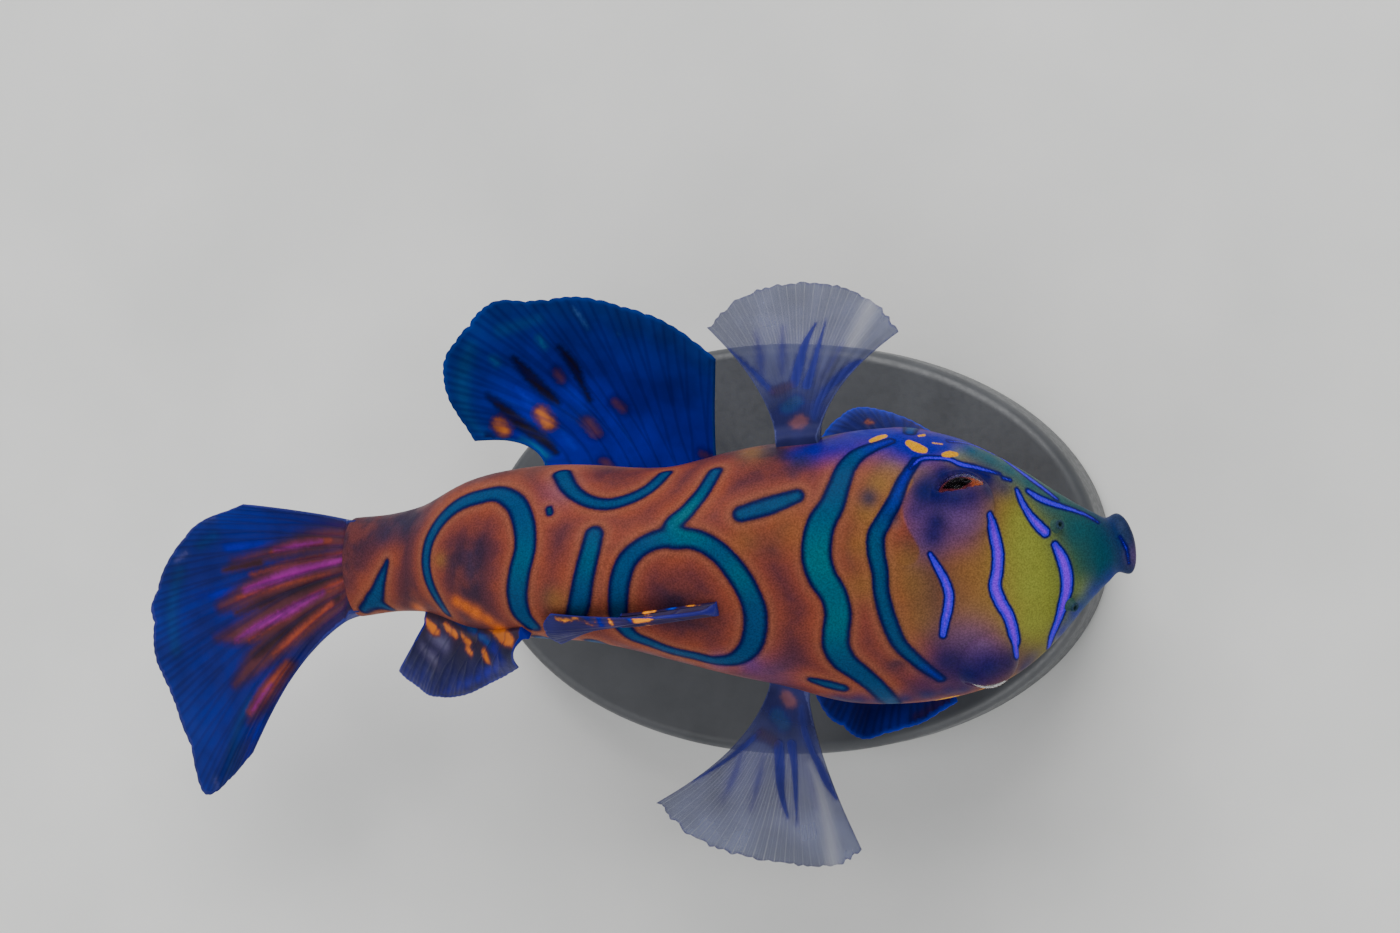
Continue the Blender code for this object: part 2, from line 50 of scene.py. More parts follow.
PLAN = Matrix.Translation(Vector((-1, -1, 23)) * MM) @ Matrix.Rotation(math.radians(18), 4, "Y")
LENS_AT = np.array((1.24, 6.42, 300.0))
PICTURE = (1400, 933)
PIXEL = 0.062                  # of the plan's own level, in one pixel of the picture

camera_data = bpy.data.cameras.new("camera")
camera_data.sensor_width = 36.0
camera_data.lens = 36.0 * LENS_AT[2] / (PICTURE[0] * PIXEL)
camera_data.clip_start = 0.01
camera = bpy.data.objects.new("camera", camera_data)
camera.matrix_world = PLAN @ Matrix.Translation(Vector(LENS_AT) * MM)
bpy.context.collection.objects.link(camera)
bpy.context.scene.camera = camera


# Floor and lights
# A pale matt sheet of studio paper lies under the stand. One broad soft box hangs over the fish's
# back, a weaker one fills from the tail, and a low one draws a gleam along the flank.
def tint(red, green, blue):
    """A colour as on a paint card, 0 to 255 each, on the linear scale that a shader wants."""
    return tuple(((c / 255 + 0.055) / 1.055) ** 2.4 if c > 10 else c / 255 / 12.92
                 for c in (red, green, blue)) + (1.0,)


def node(tree, kind, feeds=None, **settings):
    """Adds one shader node. feeds fills or links its sockets, and settings are its own."""
    made = tree.nodes.new("ShaderNode" + kind)
    for name, value in settings.items():
        setattr(made, name, value)
    for socket, value in (feeds or {}).items():
        if isinstance(value, bpy.types.NodeSocket):
            tree.links.new(value, made.inputs[socket])
        else:
            made.inputs[socket].default_value = value
    return made.outputs


def calculate(tree, operation, first, second):
    return node(tree, "Math", {0: first, 1: second}, operation=operation)["Value"]


def new_material(name, **values):
    """A material with its Principled BSDF, whose fixed values are set here on its own sockets."""
    material = bpy.data.materials.new(name)
    material.use_nodes = True
    shader = material.node_tree.nodes["Principled BSDF"]
    for socket, value in values.items():
        shader.inputs[socket.replace("_", " ")].default_value = value
    return material, material.node_tree, shader


def wire(tree, shader, **feeds):
    for socket, source in feeds.items():
        tree.links.new(source, shader.inputs[socket.replace("_", " ")])


def ramp(tree, value, stops, spread=1.0):
    """A colour read from rows of a place from 0 to spread and the tint there."""
    made = tree.nodes.new("ShaderNodeValToRGB")
    tree.links.new(calculate(tree, "MULTIPLY", value, 1.0 / spread), made.inputs["Fac"])
    colours = made.color_ramp
    while len(colours.elements) < len(stops):
        colours.elements.new(0.5)
    for element, (place, *colour) in zip(colours.elements, stops):
        element.position = place / spread
        element.color = tint(*colour)
    return made.outputs["Color"]


def mottle_group():
    """Fine natural unevenness: a grain of a stated size and a cloud ten times as wide."""
    group = bpy.data.node_groups.new("mottle", "ShaderNodeTree")
    group.interface.new_socket("Grain per metre", in_out="INPUT", socket_type="NodeSocketFloat")
    for name in ("Grain", "Cloud"):
        group.interface.new_socket(name, in_out="OUTPUT", socket_type="NodeSocketFloat")
    size = group.nodes.new("NodeGroupInput").outputs[0]
    place = node(group, "TexCoord")["Object"]
    fine = node(group, "TexNoise", {"Vector": place, "Scale": size, "Detail": 2.0,
                                    "Roughness": 0.6})["Fac"]
    wide = calculate(group, "MULTIPLY", size, 0.1)
    cloud = node(group, "TexNoise", {"Vector": place, "Scale": wide, "Detail": 3.0})["Fac"]
    out = group.nodes.new("NodeGroupOutput")
    group.links.new(fine, out.inputs["Grain"])
    group.links.new(cloud, out.inputs["Cloud"])
    return group


MOTTLE = mottle_group()


def mottle(tree, per_metre):
    made = tree.nodes.new("ShaderNodeGroup")
    made.node_tree = MOTTLE
    made.inputs["Grain per metre"].default_value = per_metre
    return made.outputs["Grain"], made.outputs["Cloud"]


def bump(tree, height, strength, distance):
    return node(tree, "Bump", {"Height": height, "Strength": strength,
                               "Distance": distance})["Normal"]


FLOOR_SIZE = 3.0
paper, tree, shader = new_material("studio_paper", Roughness=0.9)
grain, cloud = mottle(tree, 900.0)
wire(tree, shader, Base_Color=ramp(tree, cloud, ((0.3, 222, 222, 219), (0.7, 230, 229, 226))),
     Normal=bump(tree, grain, 0.1, 0.0002))
half = FLOOR_SIZE / 2
floor_mesh = bpy.data.meshes.new("floor")
floor_mesh.from_pydata([(-half, -half, 0), (half, -half, 0), (half, half, 0), (-half, half, 0)],
                       [], [(0, 1, 2, 3)])
floor_mesh.materials.append(paper)
floor = bpy.data.objects.new("floor", floor_mesh)
bpy.context.collection.objects.link(floor)


def soft_box(name, place, aim, size, power):
    light = bpy.data.lights.new(name, "AREA")
    light.shape = "RECTANGLE"
    light.size, light.size_y = size
    light.energy = power
    box = bpy.data.objects.new(name, light)
    box.location = place
    box.rotation_euler = (Vector(aim) - Vector(place)).to_track_quat("-Z", "Y").to_euler()
    bpy.context.collection.objects.link(box)


FISH_MIDDLE = (0.0, 0.0, 0.02)
soft_box("key_light", (-0.02, 0.36, 0.34), FISH_MIDDLE, (0.5, 0.4), 3.0)
soft_box("fill_light", (-0.36, -0.16, 0.30), FISH_MIDDLE, (0.5, 0.5), 1.1)
soft_box("flank_light", (0.24, -0.36, 0.20), FISH_MIDDLE, (0.5, 0.3), 1.25)
ROOM_TINT, ROOM_LIGHT = (0.9, 0.95, 1.0, 1.0), 0.3
world = bpy.data.worlds.new("studio")
world.use_nodes = True
world.node_tree.nodes["Background"].inputs["Color"].default_value = ROOM_TINT
world.node_tree.nodes["Background"].inputs["Strength"].default_value = ROOM_LIGHT
bpy.context.scene.world = world


# Body and skin
# A dragonet has no scales: one smooth, slimy skin runs from its lips to the root of its tail.
# The model's is cast in one piece, with lids, lips, nostrils and gill pores, and airbrushed.
def in_plan(points):
    """Points of the plan, moved out from the lens's axis for their depth."""
    points = np.array(points, float)
    spread = (LENS_AT[2] - points[:, 2:]) / LENS_AT[2]
    points[:, :2] = LENS_AT[:2] + (points[:, :2] - LENS_AT[:2]) * spread
    return points


BODY_LINE = (                  # station from the snout, x, y, z of the body's middle
    (0.0, 27.9, 1.7, -1.6), (3.9, 24.0, 1.2, -0.6), (8.9, 19.0, 0.7, 0.0),
    (14.9, 13.0, 0.2, 0.3), (21.9, 6.0, 0.4, 0.2), (27.9, 0.0, 0.5, -0.2),
    (34.2, -6.0, 1.1, -1.4), (39.9, -11.0, 1.1, -4.2), (46.1, -15.5, 0.7, -8.4),
    (52.1, -19.8, 0.2, -12.6),
)
TWIST = np.array((             # station, roll of the back to the right, turn of the head
    (0.0, 16, 7), (8.8, 16, 7), (11.2, 15.5, 4.5), (15.5, 16, 0.5), (20.5, 18.5, 0), (23.6, 23, 0),
    (26.7, 29, 0), (30.2, 40, 0), (32.8, 47, 0), (36.5, 60, 0), (39.7, 72, 0), (45.7, 79, 0),
    (52.1, 83, 0),
))
SECTIONS = np.array((          # station, half width, height of back, depth of belly
    (0.0, 1.95, 1.5, 1.5), (0.5, 1.95, 1.5, 1.5), (1.1, 1.75, 1.45, 1.55), (2.0, 2.3, 1.95, 2.2),
    (3.8, 3.75, 2.8, 3.3), (5.5, 5.3, 3.7, 4.4), (8.8, 7.4, 5.1, 5.9), (11.1, 8.0, 5.65, 6.25),
    (13.7, 8.4, 6.0, 6.4), (17.0, 8.5, 6.1, 6.4), (20.6, 7.75, 6.05, 6.2), (23.7, 7.2, 6.0, 6.0),
    (30.5, 5.3, 5.7, 5.7), (37.1, 4.3, 5.5, 5.5), (41.6, 3.4, 4.8, 4.8), (46.3, 2.4, 3.4, 3.4),
    (48.8, 2.0, 3.15, 3.15), (52.1, 1.6, 3.2, 3.2),
))
LINE = np.column_stack(([row[0] for row in BODY_LINE], in_plan([row[1:] for row in BODY_LINE])))
ROUNDNESS = 2.2                # 2 is an ellipse, more is fuller
LIP_STATION, LIP_ROUND = 0.5, 0.62
TAIL_END = 52.1
EYE_STATION, EYE_ANGLE = 10.4, math.radians(47.5)
EYE_LIFT, EYE_RADIUS = -0.05, 1.88
GAZE_RISE = math.radians(13)   # of the way an eye looks, over straight sideways
EYE_BULGE, BULGE_SPREAD, BULGE_EDGE = 0.5, 3.2, 4
DOME_RADIUS, DOME_MELT = 1.98, 0.9    # of the skin over the eye, and of its run into the head
OPENING = (1.36, 0.84)         # half length and half height of the hole in the dome
OPENING_EDGE, OPENING_POINT = 0.14, 1.7   # a point under 2 gives it a corner before and behind
SOCKET_DEPTH = 1.4             # of the skin that is folded in behind the eye
LID_RIM, LID_WIDTH = 0.02, 0.16
RIM_ENDS, OPENING_ENDS = (2.5, 3.4), 4.5   # distances from the eye's centre
FAR = 9.0                      # stands for anything well away
GILL_PORE = (14.9, math.radians(42), 0.5, 0.3)    # station, angle, radius, depth
CHEEK = (12.2, math.radians(96), 3.0, 0.35)
COLUMNS = 360
ROW_STEPS = ((0, 2, 0.06), (2, 6.6, 0.1), (6.6, 12.2, 0.08), (12.2, TAIL_END, 0.13))


def unit(vectors):
    return vectors / np.linalg.norm(vectors, axis=-1, keepdims=True)


def read_rows(table, at):
    """Every column of a table but its first, read along one smooth curve."""
    keys, values = table[:, 0], table[:, 1:]
    at = np.clip(np.atleast_1d(at), keys[0], keys[-1])
    i = np.clip(np.searchsorted(keys, at, side="right") - 1, 0, len(keys) - 2)
    step = (keys[i + 1] - keys[i])[:, None]
    t = (at - keys[i])[:, None] / step
    slope = np.gradient(values, keys, axis=0)
    ease = t * t * (3 - 2 * t)
    return ((1 - ease) * values[i] + ease * values[i + 1]
            + step * (t * (1 - t) ** 2 * slope[i] - t * t * (1 - t) * slope[i + 1]))


def body_frames(stations):
    """The body's middle there, and its ways forward, up through the back and to its left."""
    reach = 0.4
    forward = unit(read_rows(LINE, stations - reach) - read_rows(LINE, stations + reach))
    roll, turn = np.radians(read_rows(TWIST, stations)).T
    forward = np.stack((np.cos(turn) * forward[:, 0] - np.sin(turn) * forward[:, 1],
                        np.sin(turn) * forward[:, 0] + np.cos(turn) * forward[:, 1],
                        forward[:, 2]), axis=1)
    up = unit(np.array((0.0, 0.0, 1.0)) - forward * forward[:, 2:])
    left = np.cross(up, forward)
    cos, sin = np.cos(roll)[:, None], np.sin(roll)[:, None]
    return read_rows(LINE, stations), forward, up * cos - left * sin, left * cos + up * sin


def plain_radius(station, angle):
    width, back, belly = read_rows(SECTIONS, station).T
    across, upright = np.sin(angle), np.cos(angle)
    depth = np.where(upright > 0, back, belly)
    radius = abs(upright / depth) ** ROUNDNESS + abs(across / width) ** ROUNDNESS
    lip = np.maximum(0.0, LIP_STATION - station) / LIP_ROUND
    return radius ** (-1 / ROUNDNESS) * np.sqrt(1 - lip * lip)


def apart(station, angle, radius, at_station, at_angle):
    """How far skin points lie from one place on the skin, measured as if the body were straight."""
    top = plain_radius(np.array([at_station]), np.array([at_angle]))[0]
    return np.sqrt((station - at_station) ** 2
                   + (radius * np.sin(angle) - top * math.sin(at_angle)) ** 2
                   + (radius * np.cos(angle) - top * math.cos(at_angle)) ** 2)


def ease_between(value, low, high):
    t = np.clip((value - low) / (high - low), 0, 1)
    return t * t * (3 - 2 * t)


def skin_radius(station, angle):
    plain = plain_radius(station, angle)
    radius = plain.copy()
    for side in (1, -1):
        away = apart(station, angle, radius, EYE_STATION, side * EYE_ANGLE)
        radius += EYE_BULGE / (1 + (away / BULGE_SPREAD) ** BULGE_EDGE)
        for (at, turn, spread, size), way in ((GILL_PORE, -1), (CHEEK, 1)):
            near = apart(station, angle, plain, at, side * turn)
            radius += way * size * np.exp(-(near / spread) ** 2)
    return radius


def eye_frame(side):
    """An eye's centre, the way it looks, and its ways forward and up; side 1 is the left one."""
    middle, forward, back, left = (v[0] for v in body_frames(np.array([EYE_STATION])))
    lift = plain_radius(np.array([EYE_STATION]), np.array([EYE_ANGLE]))[0] + EYE_LIFT
    centre = middle + (back * math.cos(EYE_ANGLE) + left * math.sin(EYE_ANGLE) * side) * lift
    gaze = back * math.sin(GAZE_RISE) + left * math.cos(GAZE_RISE) * side
    return centre, gaze, forward, np.cross(gaze, forward) * -side


def domed(middle, outward, radius):
    """The head's radius, raised where a ball of skin stands over each eye."""
    for side in (1, -1):
        centre = eye_frame(side)[0]
        reach = ((centre - middle) * outward).sum(axis=1)
        miss = np.linalg.norm(middle + outward * reach[:, None] - centre, axis=1)
        ball = reach + np.sqrt(np.maximum(DOME_RADIUS ** 2 - miss ** 2, 0))
        ball = np.where((miss < DOME_RADIUS) & (reach > 0), ball, -FAR)
        share = np.clip(0.5 + 0.5 * (ball - radius) / DOME_MELT, 0, 1)
        radius = radius * (1 - share) + ball * share + DOME_MELT * share * (1 - share)
    return radius


def opened(points):
    """Pushes the skin back under each eye where the eye looks out, inside a raised lid."""
    for side in (1, -1):
        centre, gaze, forward, upward = eye_frame(side)
        away = points - centre
        length = np.linalg.norm(away, axis=1)
        edge = (abs(away @ forward / OPENING[0]) ** OPENING_POINT
                + abs(away @ upward / OPENING[1]) ** OPENING_POINT) ** (1 / OPENING_POINT)
        edge = np.where(away @ gaze > 0, (edge - 1) * OPENING[1], FAR)
        rim = LID_RIM * np.exp(-((edge - LID_WIDTH) / LID_WIDTH) ** 2)
        rim *= 1 - ease_between(length, *RIM_ENDS)
        deep = EYE_RADIUS - SOCKET_DEPTH
        pushed = deep + (length + rim - deep) * ease_between(edge, 0, OPENING_EDGE)
        near = (length < OPENING_ENDS)[:, None]
        points = np.where(near, centre + away * (pushed / np.maximum(length, 0.1))[:, None], points)
    return points


def skin_points(station, angle):
    """On the skin: an angle of 0 is the middle of the back, a right angle is the left side."""
    station, angle = np.broadcast_arrays(np.asarray(station, float), np.asarray(angle, float))
    shape, station, angle = station.shape, station.ravel(), angle.ravel()
    middle, _, back, left = body_frames(station)
    outward = back * np.cos(angle)[:, None] + left * np.sin(angle)[:, None]
    radius = domed(middle, outward, skin_radius(station, angle))
    return opened(middle + outward * radius[:, None]).reshape(*shape, 3)


def skin_normals(station, angle):
    step = 0.05
    along = skin_points(station + step, angle) - skin_points(station - step, angle)
    return unit(np.cross(skin_points(station, angle + step)
                         - skin_points(station, angle - step), along))


def grid_faces(rows, columns, closed):
    """Four-cornered faces between rows of points, which close round if the grid is a tube."""
    row = np.arange(rows - 1)[:, None] * columns
    column = np.arange(columns if closed else columns - 1)
    here, ahead = row + column, row + (column + 1) % columns
    return np.stack((here, ahead, ahead + columns, here + columns), axis=-1).reshape(-1, 4)


def new_piece(name, points, faces, material, slot, *nodes, place=PLAN):
    """A smooth piece from points in millimetres, riding with the model in place of nodes."""
    mesh = bpy.data.meshes.new(name)
    mesh.from_pydata((points.reshape(-1, 3) * MM).tolist(), [], faces.tolist())
    mesh.transform(place)
    mesh.shade_smooth()
    mesh.materials.append(material)
    piece = bpy.data.objects.new(name, mesh)
    bpy.context.collection.objects.link(piece)
    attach(piece, "root")
    if nodes:
        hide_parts(*nodes)
    return piece


def keep_on(piece, **fields):
    """Stores values for the piece's points, which its material reads by name."""
    for name, values in fields.items():
        layer = piece.data.attributes.new(name, "FLOAT", "POINT")
        layer.data.foreach_set("value", np.asarray(values, np.float32))


stations = np.concatenate([np.arange(*steps) for steps in ROW_STEPS] + [[TAIL_END]])
angles = np.arange(COLUMNS) * math.tau / COLUMNS
skin_grid = skin_points(stations[:, None], angles[None, :])

# The lips turn in to a slit, and the tail's end is rounded off under its fin's root.
LIP_TURN = ((0.1, 0.5, 0.44), (0.14, 0.47, 0.33), (0.12, 0.45, 0.24), (0.0, 0.43, 0.17),
            (-0.3, 0.42, 0.12), (-0.9, 0.4, 0.1))   # forward, share of width and of height
TAIL_TURN = ((0.1, 0.97), (0.22, 0.85), (0.3, 0.6), (0.33, 0.2))   # back, share of the section
MOUTH_STATION = -0.1           # of all that lies within the lips


def turned_in(station, steps):
    middle, forward, back, left = (v[0] for v in body_frames(np.array([station])))
    width, height, depth = read_rows(SECTIONS, station)[0]
    rows = []
    for ahead, wide, high in steps:
        x = np.sin(angles) * width * wide
        y = np.cos(angles) * np.where(np.cos(angles) > 0, height, depth) * high
        rows.append(middle + forward * ahead + left * x[:, None] + back * y[:, None])
    return np.array(rows)


mouth = turned_in(0.0, LIP_TURN)[::-1]
tail_cap = turned_in(TAIL_END, [(-back, share, share) for back, share in TAIL_TURN])
skin_rows = np.concatenate((mouth, skin_grid, tail_cap))
row_stations = np.concatenate((np.full(len(mouth), MOUTH_STATION), stations,
                               np.full(len(tail_cap), TAIL_END)))
skin_tree = BVHTree.FromPolygons(skin_grid.reshape(-1, 3).tolist(),
                                 grid_faces(len(stations), COLUMNS, True).tolist())


# Skin markings
# Blue-green bands edged in navy wind over the flanks, violet stripes cross the face, and yellow
# spots sit on the cheek. They are painted on, along routes of a few listed points.
GIRTH = 7.0                    # millimetres round the body in a radian
GRAZING = 0.12                 # cosine to the sight line, under which the skin isn't shown
def smooth_route(points, spacing=0.13):
    """A route's few points, read every short step along one smooth curve."""
    points = np.array(points, float)
    if len(points) < 2:
        return points
    steps = np.linalg.norm(np.diff(points[:, :-1], axis=0), axis=1)
    keys = np.concatenate(([0.0], np.cumsum(steps)))
    return read_rows(np.column_stack((keys, points)), np.arange(0, keys[-1] + spacing, spacing))


def pixels_to_plan(rows):
    """Rows of picture x, picture y and millimetres, with the pixels turned to the plan's x, y."""
    rows = np.array(rows, float)
    rows[:, 0] = LENS_AT[0] + (rows[:, 0] - PICTURE[0] / 2) * PIXEL
    rows[:, 1] = LENS_AT[1] + (PICTURE[1] / 2 - rows[:, 1]) * PIXEL
    return rows


def seen(tree, route):
    """A route of the picture, dropped along the sight lines onto a surface."""
    places, halves = [], []
    for x, y, half in smooth_route(pixels_to_plan(route)):
        way = Vector((x, y, 0)) - Vector(LENS_AT)
        place, _, _, _ = tree.ray_cast(Vector(LENS_AT), way)
        if place:
            places.append(place)
            halves.append(half)
    return np.array(places).reshape(-1, 3), np.array(halves)


def hidden(route):
    """A route of stations and angles in degrees, for the sides that the picture doesn't show."""
    body = np.array(route, float)
    body[:, 1] = np.radians(body[:, 1]) * GIRTH
    body = smooth_route(body)
    return skin_points(body[:, 0], body[:, 1] / GIRTH), body[:, 2]


def faces_away(places, stations_at, angles_at):
    sight = unit(LENS_AT - places)
    return (skin_normals(stations_at, angles_at) * sight).sum(axis=1) < GRAZING


def mirrored(mark):
    """The same mark on the fish's other side, only where the picture doesn't show that side."""
    places, halves = mark
    spots = np.array([skin_tree.find_nearest(Vector(p))[2] for p in places], int)
    at, turn = stations[spots // COLUMNS], -angles[spots % COLUMNS]
    other = skin_points(at, turn)
    away = faces_away(other, at, turn)
    return other[away], halves[away]


def outside(points, marks, reach=4.0, melt=0.35, depth=1.0):
    """How far points lie outside the nearest mark, negative inside; marks that meet melt together.

    A depth under 1 counts less of the way towards the lens, so that marks on steep skin keep the
    width that the picture shows.
    """
    away = np.full(len(points), reach)
    points = points * (1, 1, depth)
    marks = [(np.reshape(places, (-1, 3)) * (1, 1, depth), halves) for places, halves in marks]
    for places, halves in marks:
        if not len(places):
            continue
        edge = reach + halves.max()
        near = np.flatnonzero(((points > places.min(0) - edge) & (points < places.max(0) + edge))
                              .all(axis=1))
        for part in np.array_split(near, len(near) // 3000 + 1):
            gap = np.linalg.norm(points[part][:, None] - places[None], axis=2) - halves
            gap = gap.min(axis=1)
            share = np.clip(0.5 + 0.5 * (away[part] - gap) / melt, 0, 1)
            away[part] = (away[part] * (1 - share) + gap * share - melt * share * (1 - share))
    return away


PUFF_DEPTH = 0.5               # counted of the way towards the lens, so a puff runs down steep skin


def airbrushed(points, puffs, tree=None):
    """Soft colour from puffs of picture x, y, radius in millimetres and strength."""
    clear = np.ones(len(points))
    for x, y, radius, strength in puffs:
        places, _ = seen(tree or skin_tree, ((x, y, 1),))
        for place in places:
            near = np.linalg.norm((points - place) * (1, 1, PUFF_DEPTH), axis=1) / radius
            clear *= 1 - strength * np.exp(-near ** 2)
    return 1 - clear


# Routes hold picture x, picture y and the band's half width in millimetres.
NAPE = (
    (916, 461, 0.36), (904, 479, 0.42), (894, 502, 0.5), (884, 520, 0.55), (876, 536, 0.58),
    (876, 552, 0.58), (880, 572, 0.54), (881, 590, 0.52), (885, 608, 0.52), (891, 626, 0.53),
    (899, 643, 0.5), (912, 657, 0.48), (927, 669, 0.42), (941, 679, 0.36))
SHOULDER = (
    (890, 441, 0.4), (873, 447, 0.5), (856, 456, 0.6), (846, 468, 0.65), (839, 486, 0.7),
    (832, 505, 0.78), (822, 522, 0.88), (817, 541, 0.93), (817, 560, 0.93), (823, 578, 0.9),
    (833, 594, 0.86), (838, 613, 0.84), (836, 632, 0.86), (836, 646, 0.86), (843, 660, 0.82),
    (859, 673, 0.74), (875, 686, 0.7), (888, 699, 0.66), (901, 711, 0.55))
RING_STEM = ((715, 472, 0.5), (702, 493, 0.52), (686, 512, 0.55), (672, 528, 0.62), (677, 538, 0.6))
RING = (
    (677, 537, 0.68), (659, 539, 0.62), (641, 547, 0.6), (627, 561, 0.64), (620, 580, 0.66),
    (618, 600, 0.64), (619, 618, 0.6), (630, 634, 0.55), (650, 643, 0.5), (672, 651, 0.5),
    (694, 656, 0.52), (717, 661, 0.56), (738, 658, 0.64), (750, 647, 0.72), (755, 630, 0.74),
    (755, 612, 0.74), (747, 590, 0.72), (733, 568, 0.7), (717, 551, 0.66), (697, 540, 0.64),
    (677, 537, 0.68))
BACK_BAR = ((741, 514, 0.52), (768, 506, 0.6), (797, 496, 0.46))
FLANK_BAR = ((594, 535, 0.62), (589, 555, 0.66), (583, 580, 0.68), (579, 604, 0.7), (574, 622, 0.6))
TAIL_ARCH = (
    (446, 612, 0.4), (438, 600, 0.46), (430, 584, 0.5), (426, 565, 0.52), (428, 545, 0.53),
    (439, 523, 0.55), (458, 505, 0.6), (482, 496, 0.62), (500, 494, 0.62), (515, 503, 0.7),
    (523, 521, 0.78), (525, 546, 0.83), (519, 573, 0.82), (517, 598, 0.78), (522, 615, 0.72),
    (532, 626, 0.6))
BELLY_SCOOP = (
    (562, 474, 0.62), (568, 486, 0.58), (580, 497, 0.52), (602, 504, 0.5), (629, 499, 0.5),
    (650, 488, 0.5), (665, 474, 0.5))
STALK_PATCH = (
    ((387, 562, 0.2), (381, 580, 0.45), (374, 600, 0.6), (364, 610, 0.4)),
    ((374, 602, 0.6), (390, 609, 0.35)))
FLANK_LOBE = ((812, 680, 0.3), (826, 684, 0.46), (842, 688, 0.44))
GREEN_SPOT = ((549, 509, 0.26), (550, 513, 0.26))
# Out of the picture's sight: station, degrees from the mid back, half width.
LOW_NAPE = ((11.2, -84, 0.34), (10.6, -95, 0.4), (10.8, -110, 0.34))
LOW_SHOULDER = ((12.9, -80, 0.55), (12.2, -95, 0.6), (12.4, -112, 0.5), (13.4, -128, 0.4))
LEFT_SHOULDER = ((12.8, 88, 0.45), (12.4, 100, 0.55), (12.9, 118, 0.5), (14.0, 132, 0.36))
RIGHT_BRANCH = ((25.2, -74, 0.55), (24.2, -92, 0.6), (24.6, -110, 0.55), (26.2, -124, 0.42))
RIGHT_BAR = ((19.0, -98, 0.5), (21.4, -104, 0.58), (23.0, -116, 0.46))
RIGHT_SCOOP = (
    (28.0, -92, 0.5), (28.6, -112, 0.55), (30.2, -124, 0.5), (32.2, -112, 0.55), (32.6, -96, 0.5))
BREAST_BAR = ((16.2, -118, 0.44), (17.4, -132, 0.5), (19.4, -138, 0.4))

bands = [seen(skin_tree, route) for route in
         (NAPE, SHOULDER, RING_STEM, RING, BACK_BAR, FLANK_BAR, TAIL_ARCH, BELLY_SCOOP,
          *STALK_PATCH, FLANK_LOBE, GREEN_SPOT)]
bands += [mirrored(seen(skin_tree, route)) for route in (FLANK_BAR, TAIL_ARCH, *STALK_PATCH)]
bands += [hidden(route) for route in (LOW_NAPE, LOW_SHOULDER, LEFT_SHOULDER, RIGHT_BRANCH,
                                      RIGHT_BAR, RIGHT_SCOOP, BREAST_BAR)]
bands.append(hidden([(s, -a, h) for s, a, h in BREAST_BAR]))

# From the lips back, then along the cheek
STRIPES = (
    ((1055, 545, 0.26), (1061, 556, 0.4), (1066, 571, 0.45), (1067, 587, 0.44), (1063, 605, 0.38),
     (1058, 621, 0.3), (1052, 636, 0.26), (1049, 647, 0.2)),
    ((990, 515, 0.26), (994, 533, 0.38), (998, 553, 0.4), (997, 573, 0.4), (995, 586, 0.42),
     (1000, 601, 0.42), (1009, 617, 0.4), (1014, 635, 0.38), (1017, 655, 0.3)),
    ((930, 554, 0.16), (938, 568, 0.26), (945, 581, 0.3), (949, 594, 0.32), (948, 608, 0.32),
     (945, 622, 0.3), (943, 635, 0.24)),
    ((1017, 490, 0.16), (1021, 500, 0.22), (1029, 514, 0.28), (1038, 525, 0.36), (1045, 532, 0.36)),
    ((1028, 491, 0.18), (1039, 498, 0.24), (1054, 504, 0.22), (1070, 509, 0.18), (1086, 515, 0.14),
     (1098, 522, 0.1)), ((1003, 478, 0.13), (1010, 480, 0.13)),
    ((911, 468, 0.12), (919, 460, 0.16), (937, 458, 0.16), (951, 460, 0.17), (960, 464, 0.19),
     (974, 467, 0.17), (989, 471, 0.15), (1000, 474, 0.1)),
    ((961, 470, 0.06), (980, 473, 0.07), (989, 477, 0.05)),
    ((948, 441, 0.12), (966, 443, 0.14), (976, 446, 0.16), (989, 452, 0.17), (1001, 458, 0.18),
     (1013, 466, 0.19), (1028, 477, 0.19), (1043, 488, 0.18), (1057, 499, 0.13)),
    ((1120, 537, 0.08), (1126, 548, 0.12), (1129, 563, 0.08)))
LOW_STRIPES = (
    ((4.3, -100, 0.24), (5.6, -118, 0.3), (7.2, -136, 0.2)),
    ((3.6, 122, 0.22), (5.4, 134, 0.28), (7.0, 150, 0.2)))
stripes = [seen(skin_tree, route) for route in STRIPES]
far_stripes = [mirrored(stripes[i]) for i in (6, 8)] + [hidden(route) for route in LOW_STRIPES]

YELLOW_SPOTS = (
    ((909, 443, 0.24), (916, 447, 0.33), (924, 450, 0.24)),
    ((944, 455, 0.16), (950, 454, 0.24), (956, 454, 0.16)),
    ((871, 441, 0.14), (878, 438, 0.2), (885, 436, 0.16)), ((919, 436, 0.1), (924, 435, 0.12)),
    ((933, 443, 0.08), (942, 444, 0.08)))
yellows = [seen(skin_tree, route) for route in YELLOW_SPOTS]
far_yellows = [mirrored(mark) for mark in yellows[:4]]

